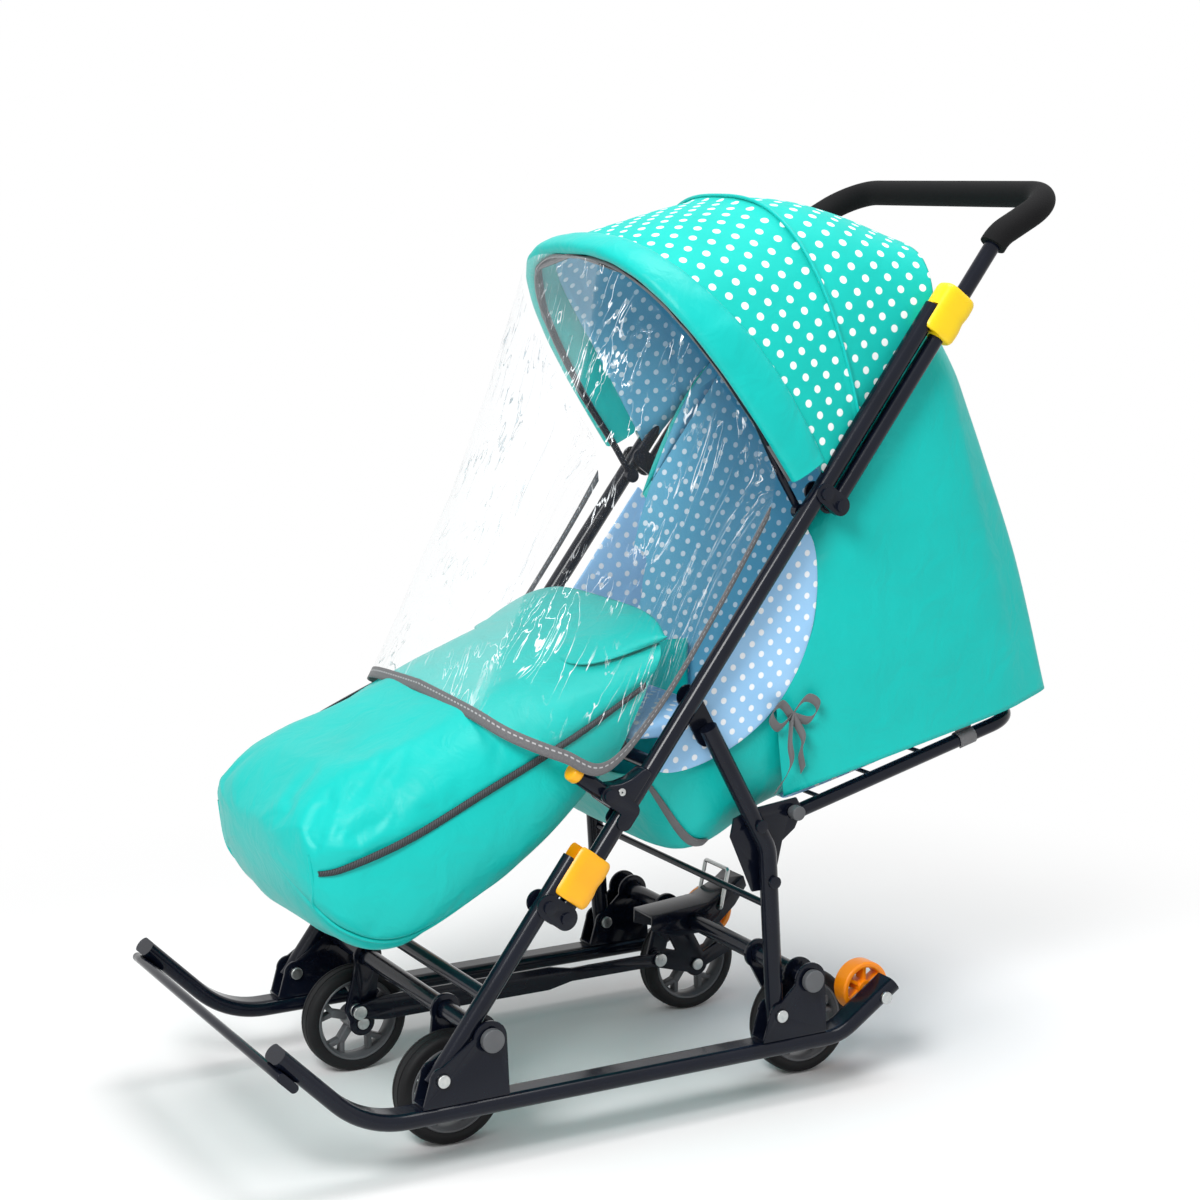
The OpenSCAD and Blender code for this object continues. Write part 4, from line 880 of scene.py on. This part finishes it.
def hood_at(u, turn, grow=0.0):
    """A point on the hood: u from its front rim to its rear hem, turn over the arch, grow outwards."""
    low, top = Vector(through(HOOD_LOW, u)), Vector(through(HOOD_TOP, u))
    out = top - low
    flat = low + out * abs(math.sin(turn)) ** ARCH_POWER * (1 + grow / out.length)
    wide = through(HOOD_WIDE, u)[0] + grow
    return spot(wide * soft(math.cos(turn), ARCH_POWER), flat.x, flat.y)


def trim_turn(v):
    """How far over the arch the hood's trim has come, from just above one foot to the other."""
    return math.radians(2 + 176 * v)


def roll_end(turn):
    """Where along the hood the front roll ends: it takes a larger share at the sides."""
    return 0.13 + 0.09 * abs(math.cos(turn)) ** 3


def canopy(inset):
    """The hood's cloth, that far inside in mm: u over the arch, v from the roll to the rear hem."""
    def shape(u, v):
        start = roll_end(math.pi * u) - 0.03
        along = start + (1 - start) * v
        edge = math.radians(0.2 + 2.8 * min(1, max(0, (along - 0.78) / 0.1)))
        turn = edge + (math.pi - 2 * edge) * u
        ridge = 3 * math.exp(-((along - RIDGE) / 0.012) ** 2)
        slack = 4 * abs(math.sin(math.pi * (along - 0.12) / 0.44)) * math.sin(turn)
        crease = 2.5 * noise.noise((7 * u, 5 * along, 1.0))
        return hood_at(along, turn, ridge - slack + crease - inset)
    return shape


def hood_roll(u, v):
    turn = trim_turn(v)
    mid = roll_end(turn) / 2
    around = math.tau * u
    pucker = 0.8 * math.sin(90 * v) * abs(math.cos(around))
    grow = ROLL_LIFT + (ROLL_HALF + pucker) * soft(math.sin(around), 0.8)
    return hood_at(max(0, mid + mid * math.cos(around)), turn, grow)


def ridge_piping(u, v):
    around = math.tau * u
    return hood_at(RIDGE + 0.006 * math.cos(around), trim_turn(v), 4 + 2.2 * math.sin(around))


def rim_binding(u, v):
    return hood_at(0.001 + 0.05 * u, trim_turn(v), -8.5 + 2 * u)


hood_cloth = sewn_piece(mapped_grid(120, 60, canopy(0)), "hood_cloth", TEAL_DOTS, None, "teal_cloth")
hood_lining = sewn_piece(mapped_grid(80, 40, canopy(HOOD_LINING_INSET)), "hood_lining", LINING_DOTS, None,
    "blue_cloth")
front_roll = sewn_piece(mapped_grid(24, 160, hood_roll, True), "hood_front_roll", TEAL, None,
    "teal_cloth")
binding = sewn_piece(mapped_grid(4, 120, rim_binding), "hood_rim_binding", WEB, None, "grey_web")
piping = sewn_piece(mapped_grid(8, 160, ridge_piping, True), "hood_ridge_piping", TEAL, None,
    "teal_cloth")
laid_flat(hood_cloth)
laid_flat(hood_lining)
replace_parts(hood_cloth, "hood_canopy")
for cloth, width in ((hood_cloth, 0.86), (hood_lining, 0.86), (binding, 0.015)):
    cut_cloth(thickened(cloth, CLOTH_THICK))
for cloth in (hood_cloth, hood_lining, front_roll, piping, binding):
    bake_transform(cloth)


# Foot muff: a stuffed teal sock round the footrest, of a top panel and a wrap sewn together along
# two zips, with a piped side seam. Its open end lies on the seat.
MUFF_TOP = [[-105, 542], [-215, 500], [-320, 463], [-420, 424], [-495, 394], [-536, 362]]
MUFF_LOW = [[-205, 358], [-268, 297], [-345, 246], [-424, 212], [-482, 232], [-524, 292]]
MUFF_WIDE = [[166], [172], [174], [171], [154], [112]]
MUFF_SETTLE = 0.006
ZIP_HEIGHTS = {"left": 0.35, "right": 0.77}
SIDE_SEAM = -38
GROOVE = -4


def muff_at(turn, v, grow=0.0):
    """A point on the muff: turn round its section from the left side over the top, v to the toe."""
    top, low = Vector(through(MUFF_TOP, v)), Vector(through(MUFF_LOW, v))
    closing = max(0, (v - 0.9) / 0.1)
    shut = math.sqrt(max(0, 1 - closing ** 2))
    mid, up = (top + low) / 2, (top - low) / 2
    wide = (through(MUFF_WIDE, v)[0] + grow) * shut
    rise = soft(math.sin(turn), 0.5) * (1 + grow / up.length) * shut
    flat = mid + up * rise
    return spot(wide * soft(math.cos(turn), 0.5), flat.x, flat.y)


def zip_turn(side, v, shift=0.0):
    """Where a zip runs round the muff: along its top edge, and lower at the toe."""
    height = ZIP_HEIGHTS[side] - 0.75 * v ** 5 + shift
    turn = math.asin(height * abs(height))
    return turn if side == "left" else math.pi - turn


def seam_distance(turn, v):
    """How far round the section the nearest seam or zip lies, as an angle."""
    seams = [zip_turn("left", v), zip_turn("right", v)]
    seams += [math.radians(SIDE_SEAM), math.radians(-180 - SIDE_SEAM)]
    return min(abs(math.remainder(turn - seam, math.tau)) for seam in seams)


def muff_skin(u, v):
    turn = math.tau * u - math.pi / 2
    groove = GROOVE * math.exp(-(seam_distance(turn, v) / 0.05) ** 2)
    crease = 4 * noise.noise((3 * math.cos(turn), 3 * math.sin(turn), 5 * v))
    return muff_at(turn, v, groove + crease - 2)


def muff_seams(u, v):
    near = seam_distance(math.tau * u - math.pi / 2, v)
    return 1.0 if near < 0.04 or v < 0.02 or v > 0.97 else 0.0


foot_muff = sewn_piece(mapped_grid(120, 80, muff_skin, True, muff_seams), "foot_muff_skin", TEAL,
    "footrest", "teal_cloth")
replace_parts(smoothed(puffed(foot_muff, PAD_PRESSURE, MUFF_SETTLE)), "foot_muff")


# Muff trim: the top panel's end is turned back as a rounded flap, and a piped seam of the same teal
# nylon runs along each flank and round the toe, where the side panel meets the sole.
FLAP_THICK = 0.002
PIPING_RADIUS = 0.0024


def muff_flap(u, v):
    turn = math.radians(36 + 108 * u)
    reach = 0.006 + 0.19 * (1 - (2 * u - 1) ** 4)
    return muff_at(turn, 0.002 + reach * v, 2 + 6 * math.sin(math.pi * min(1, 1.15 * v)) ** 0.7)


def piped_seam(hand):
    """A round cord in the side seam's groove, u round the cord and v along the seam."""
    def path(share):
        bend = min(1, max(0, (share - 0.7) / 0.3))
        turn = math.radians(SIDE_SEAM + 42 * bend ** 2)
        v = 0.03 + 0.87 * math.sin(math.pi / 2 * min(1, share / 0.86)) ** 0.9
        near, out = muff_at(turn, v, GROOVE), muff_at(turn, v)
        mirror = Vector((hand, 1, 1))
        return near * mirror, ((out - near) * mirror).normalized()

    def shape(u, v):
        point, out = path(v)
        along = path(min(1, v + 0.004))[0] - path(max(0, v - 0.004))[0]
        side = out.cross(along).normalized()
        around = math.tau * u
        return point + PIPING_RADIUS * (math.cos(around) * side + math.sin(around) * out)
    return shape


flap = sewn_piece(mapped_grid(60, 20, muff_flap), "muff_flap", TEAL, "footrest", "teal_cloth")
cut_cloth(thickened(flap, FLAP_THICK))
for hand, side in SIDES:
    seam = sewn_piece(mapped_grid(8, 160, piped_seam(hand), True), f"muff_piping_{side}", TEAL,
        "footrest", "teal_cloth")


# Zips: dark woven tape with a row of nylon teeth, sewn along the muff's two top edges, where the top
# panel opens.
ZIP_THICK = 0.0015
TOOTH_PITCH = 2.856


def zip_tape():
    """Zip tape: dark woven tape with a row of teeth down its middle, along the UV map."""
    material, tree, shader = new_material("zip_tape", Roughness=0.6)
    place = add(tree, "TexCoord").outputs["UV"]
    teeth = add(tree, "TexWave", {"Vector": place, "Scale": spaced(TOOTH_PITCH) * math.tau / 20},
        bands_direction="Y")
    colour = add(tree, "MixRGB", {
        "Fac": teeth.outputs["Fac"], "Color1": linear("#15181C"), "Color2": linear("#3A3D42")})
    bump = add(tree, "Bump", {"Height": teeth.outputs["Fac"], "Strength": 0.5, "Distance": 0.001})
    into(tree, shader, Base_Color=colour.outputs[0], Normal=bump.outputs[0])
    return material


def zip_band(side):
    """A zip's tape, u across it and v along the muff."""
    def shape(u, v):
        along = 0.03 + 0.85 * v
        turn = zip_turn(side, along, 0.08 * (u - 0.5))
        return muff_at(turn, along, -2 + 2.2 * math.sin(math.pi * u))
    return shape


ZIP = zip_tape()
for hand, side in SIDES:
    band = sewn_piece(mapped_grid(6, 90, zip_band(side)), f"muff_zip_{side}", ZIP, "footrest", "grey_web")
    cut_cloth(thickened(band, ZIP_THICK))


# Rain cover: clear vinyl film zipped to the hood's rim and laid over the muff, creased from its
# packing, with a grey binding sewn round its lower edge.
COVER_EDGE = [
    [186, 10, 680], [190, -68, 562], [196, -146, 460], [212, -220, 404],
    [206, -268, 420], [176, -312, 440], [120, -331, 456], [0, -336, 464],
]
HEM_WIDE, HEM_THICK = 0.014, 0.002
STITCH_PITCH = 7


def vinyl():
    """Clear vinyl film: nearly all seen through, with painted white highlight streaks in its creased
    patches, and a painted reflection where it is seen edge-on.
    """
    material, tree, shader = new_material(
        "clear_vinyl", Base_Color=linear("#F2F7FA"), Roughness=0.08, IOR=1.5)
    place = add(tree, "TexCoord").outputs["UV"]
    waves = add(tree, "TexNoise", {
        "Vector": place, "Scale": spaced(125), "Detail": 3.0, "Distortion": 1.5})
    long = add(tree, "Mapping", {
        "Vector": place, "Scale": (spaced(23.8095), spaced(111.111), 1), "Rotation": (0, 0, 0.25)})
    # Painted highlights: thin white lines in patches, where the white film is made more opaque, stand in
    # for light caught along its creases.
    painted_highlight_streaks = add(tree, "TexNoise", {
        "Vector": long.outputs[0], "Scale": 1.0, "Detail": 3.0, "Distortion": 1.6})
    away = add(tree, "Math", {0: painted_highlight_streaks.outputs["Fac"], 1: 0.5}, operation="SUBTRACT")
    off = add(tree, "Math", {0: away.outputs[0]}, operation="ABSOLUTE")
    line = add(tree, "MapRange", {
        "Value": off.outputs[0], "From Min": 0.004, "From Max": 0.014, "To Min": 0.9, "To Max": 0.0})
    patch = add(tree, "MapRange", {
        "Value": waves.outputs["Fac"], "From Min": 0.46, "From Max": 0.6, "To Min": 0.0, "To Max": 1.0})
    crease = add(tree, "Math", {0: line.outputs[0], 1: patch.outputs[0]}, operation="MULTIPLY")
    # Painted reflection: the white film is made more opaque where it is seen edge-on.
    rim = add(tree, "LayerWeight", {"Blend": 0.25})
    painted_glance_reflection = add(tree, "Math", {0: rim.outputs["Fresnel"], 1: 0.12}, operation="MULTIPLY")
    # Opacity: the painted highlights, a faint even haze of the film itself, and the painted reflection.
    highlights_and_haze = add(tree, "Math", {0: crease.outputs[0], 1: 0.015}, operation="ADD")
    alpha = add(tree, "Math", {0: highlights_and_haze.outputs[0], 1: painted_glance_reflection.outputs[0]}, operation="ADD")
    bump = add(tree, "Bump", {"Height": waves.outputs["Fac"], "Strength": 0.6, "Distance": 0.02})
    into(tree, shader, Alpha=alpha.outputs[0], Normal=bump.outputs[0])
    return material


def bound_edge():
    """Folded binding tape: ribbed weave, with a row of pale stitches drawn coarse enough to show."""
    material, tree, shader = new_material("bound_edge", Roughness=0.75, Sheen_Weight=0.15)
    source = add(tree, "TexCoord")
    axes = add(tree, "SeparateXYZ", {"Vector": source.outputs["UV"]})
    along = add(tree, "Math", {0: axes.outputs["Y"], 1: spaced(STITCH_PITCH)}, operation="MULTIPLY")
    part = add(tree, "Math", {0: along.outputs[0]}, operation="FRACT")
    dash = add(tree, "Math", {0: part.outputs[0], 1: 0.6}, operation="LESS_THAN")
    aside = add(tree, "Math", {0: axes.outputs["X"], 1: 0.002}, operation="SUBTRACT")
    off = add(tree, "Math", {0: aside.outputs[0]}, operation="ABSOLUTE")
    line = add(tree, "Math", {0: off.outputs[0], 1: 0.0008}, operation="LESS_THAN")
    stitch = add(tree, "Math", {0: dash.outputs[0], 1: line.outputs[0]}, operation="MULTIPLY")
    weave = add(tree, "TexNoise", {
        "Vector": source.outputs["Object"], "Scale": spaced(1.66667), "Detail": 2.0})
    tape = add(tree, "MixRGB", {
        "Fac": weave.outputs["Fac"], "Color1": linear("#4E4E50"), "Color2": linear("#6E6E70")})
    colour = add(tree, "MixRGB", {
        "Fac": stitch.outputs[0], "Color1": tape.outputs[0], "Color2": linear("#A9A9AB")})
    bump = add(tree, "Bump", {"Height": weave.outputs["Fac"], "Strength": 0.4, "Distance": 0.0006})
    into(tree, shader, Base_Color=colour.outputs[0], Normal=bump.outputs[0])
    return material


def cover_turn(share):
    """How far over the hood's rim the film has come, from one lower corner to the other."""
    return math.radians(4 + 172 * share)


def cover_at(turn, v):
    """A point on the film: turn over the hood's rim, v from the lower edge up to the rim."""
    degrees = math.degrees(turn)
    key = through(COVER_EDGE, min(degrees, 180 - degrees) / 90)
    edge = spot(key[0] if degrees < 90 else -key[0], key[1], key[2])
    rim = hood_at(0, turn) + Vector((0, -0.009, -0.003))
    slack = Vector((0, 0.010, -0.014)) * math.sin(math.pi * v) * math.sin(turn)
    return edge + (rim - edge) * v + slack


def film(u, v):
    point = cover_at(cover_turn(u), v)
    ripple = 0.006 * math.sin(math.pi * v) * noise.noise(point * 9)
    return point + Vector((0.4 * ripple, -ripple, ripple))


def film_hem(u, v):
    turn = cover_turn(v)
    share = HEM_WIDE / (cover_at(turn, 1) - cover_at(turn, 0)).length
    return cover_at(turn, share * (u - 0.2))


cover = sewn_piece(mapped_grid(140, 70, film), "rain_cover_film", vinyl(), None, "clear_film")
cover_hem = sewn_piece(mapped_grid(4, 200, film_hem), "rain_cover_hem", bound_edge(), None, "grey_web")
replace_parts(cover, "rain_cover")
cut_cloth(cover)
cut_cloth(thickened(cover_hem, HEM_THICK))
for cloth in (cover, cover_hem):
    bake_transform(cloth)


# Studio: a white floor that fades into a white backdrop, soft light from above and from the front,
# and the camera, which stands where the photograph was taken.
FLOOR_HALF = 20.0


def seen_by(tree):
    """How far a ray shows the room: the camera's own rays, and those that mirrors or glass send on."""
    light = add(tree, "LightPath").outputs
    first = add(tree, "Math", {0: light["Is Camera Ray"], 1: light["Is Glossy Ray"]},
        operation="MAXIMUM")
    return add(tree, "Math", {0: first.outputs[0], 1: light["Is Transmission Ray"]},
        operation="MAXIMUM").outputs[0]


def white_floor():
    """White floor: it takes the object's shadow, and fades to the backdrop's white further out."""
    material, tree, shader = new_material("studio_floor", Roughness=0.9, Base_Color=linear("#F4F4F4"))
    place = add(tree, "TexCoord").outputs["Object"]
    far = add(tree, "VectorMath", {0: place}, operation="LENGTH")
    fade = add(tree, "MapRange", {
        "Value": far.outputs["Value"], "From Min": 0.5, "From Max": 1.3},
        interpolation_type="SMOOTHSTEP")
    share = add(tree, "Math", {0: fade.outputs[0], 1: seen_by(tree)}, operation="MULTIPLY")
    white = add(tree, "Emission", {"Color": (1, 1, 1, 1), "Strength": 1.0})
    both = add(tree, "MixShader", {0: share.outputs[0], 1: shader.outputs[0], 2: white.outputs[0]})
    tree.links.new(both.outputs[0], tree.nodes["Material Output"].inputs["Surface"])
    return material


bm = bmesh.new()
bmesh.ops.create_grid(bm, x_segments=1, y_segments=1, size=FLOOR_HALF)
floor_mesh = bpy.data.meshes.new("studio_floor")
bm.to_mesh(floor_mesh)
bm.free()
floor_mesh.materials.append(white_floor())
floor = bpy.data.objects.new("studio_floor", floor_mesh)
bpy.context.collection.objects.link(floor)

world = bpy.data.worlds.new("studio")
world.use_nodes = True
room = world.node_tree
room.nodes.clear()
shown = add(room, "MapRange", {"Value": seen_by(room), "To Min": 0.5, "To Max": 1.0})
sky = add(room, "Background", {"Color": (1, 1, 1, 1), "Strength": shown.outputs[0]})
add(room, "OutputWorld", {"Surface": sky.outputs[0]})
bpy.context.scene.world = world


def area_light(name, place, aim, size, power):
    """A soft square lamp that points at a spot."""
    lamp = bpy.data.lights.new(name, "AREA")
    lamp.size = size
    lamp.energy = power
    made = bpy.data.objects.new(name, lamp)
    made.location = place
    made.rotation_euler = (Vector(aim) - Vector(place)).to_track_quat("-Z", "Y").to_euler()
    bpy.context.collection.objects.link(made)
    return made


lamps = [
    area_light("key_lamp", (1.7, -2.0, 2.4), (0, 0, 0.5), 1.0, 72),
    area_light("top_lamp", (0.2, 0.5, 3.0), (0, 0, 0.5), 1.6, 44),
]
camera_data = bpy.data.cameras.new("photo_camera")
camera_data.lens = 74.08
camera_data.sensor_width = 36
camera = bpy.data.objects.new("photo_camera", camera_data)
camera.location = (2.3733, -1.3286, 1.0064)
camera.rotation_euler = Vector((-0.8624, 0.4770, -0.1690)).to_track_quat("-Z", "Y").to_euler()
bpy.context.collection.objects.link(camera)
bpy.context.scene.camera = camera
bpy.context.scene.view_settings.view_transform = "Standard"
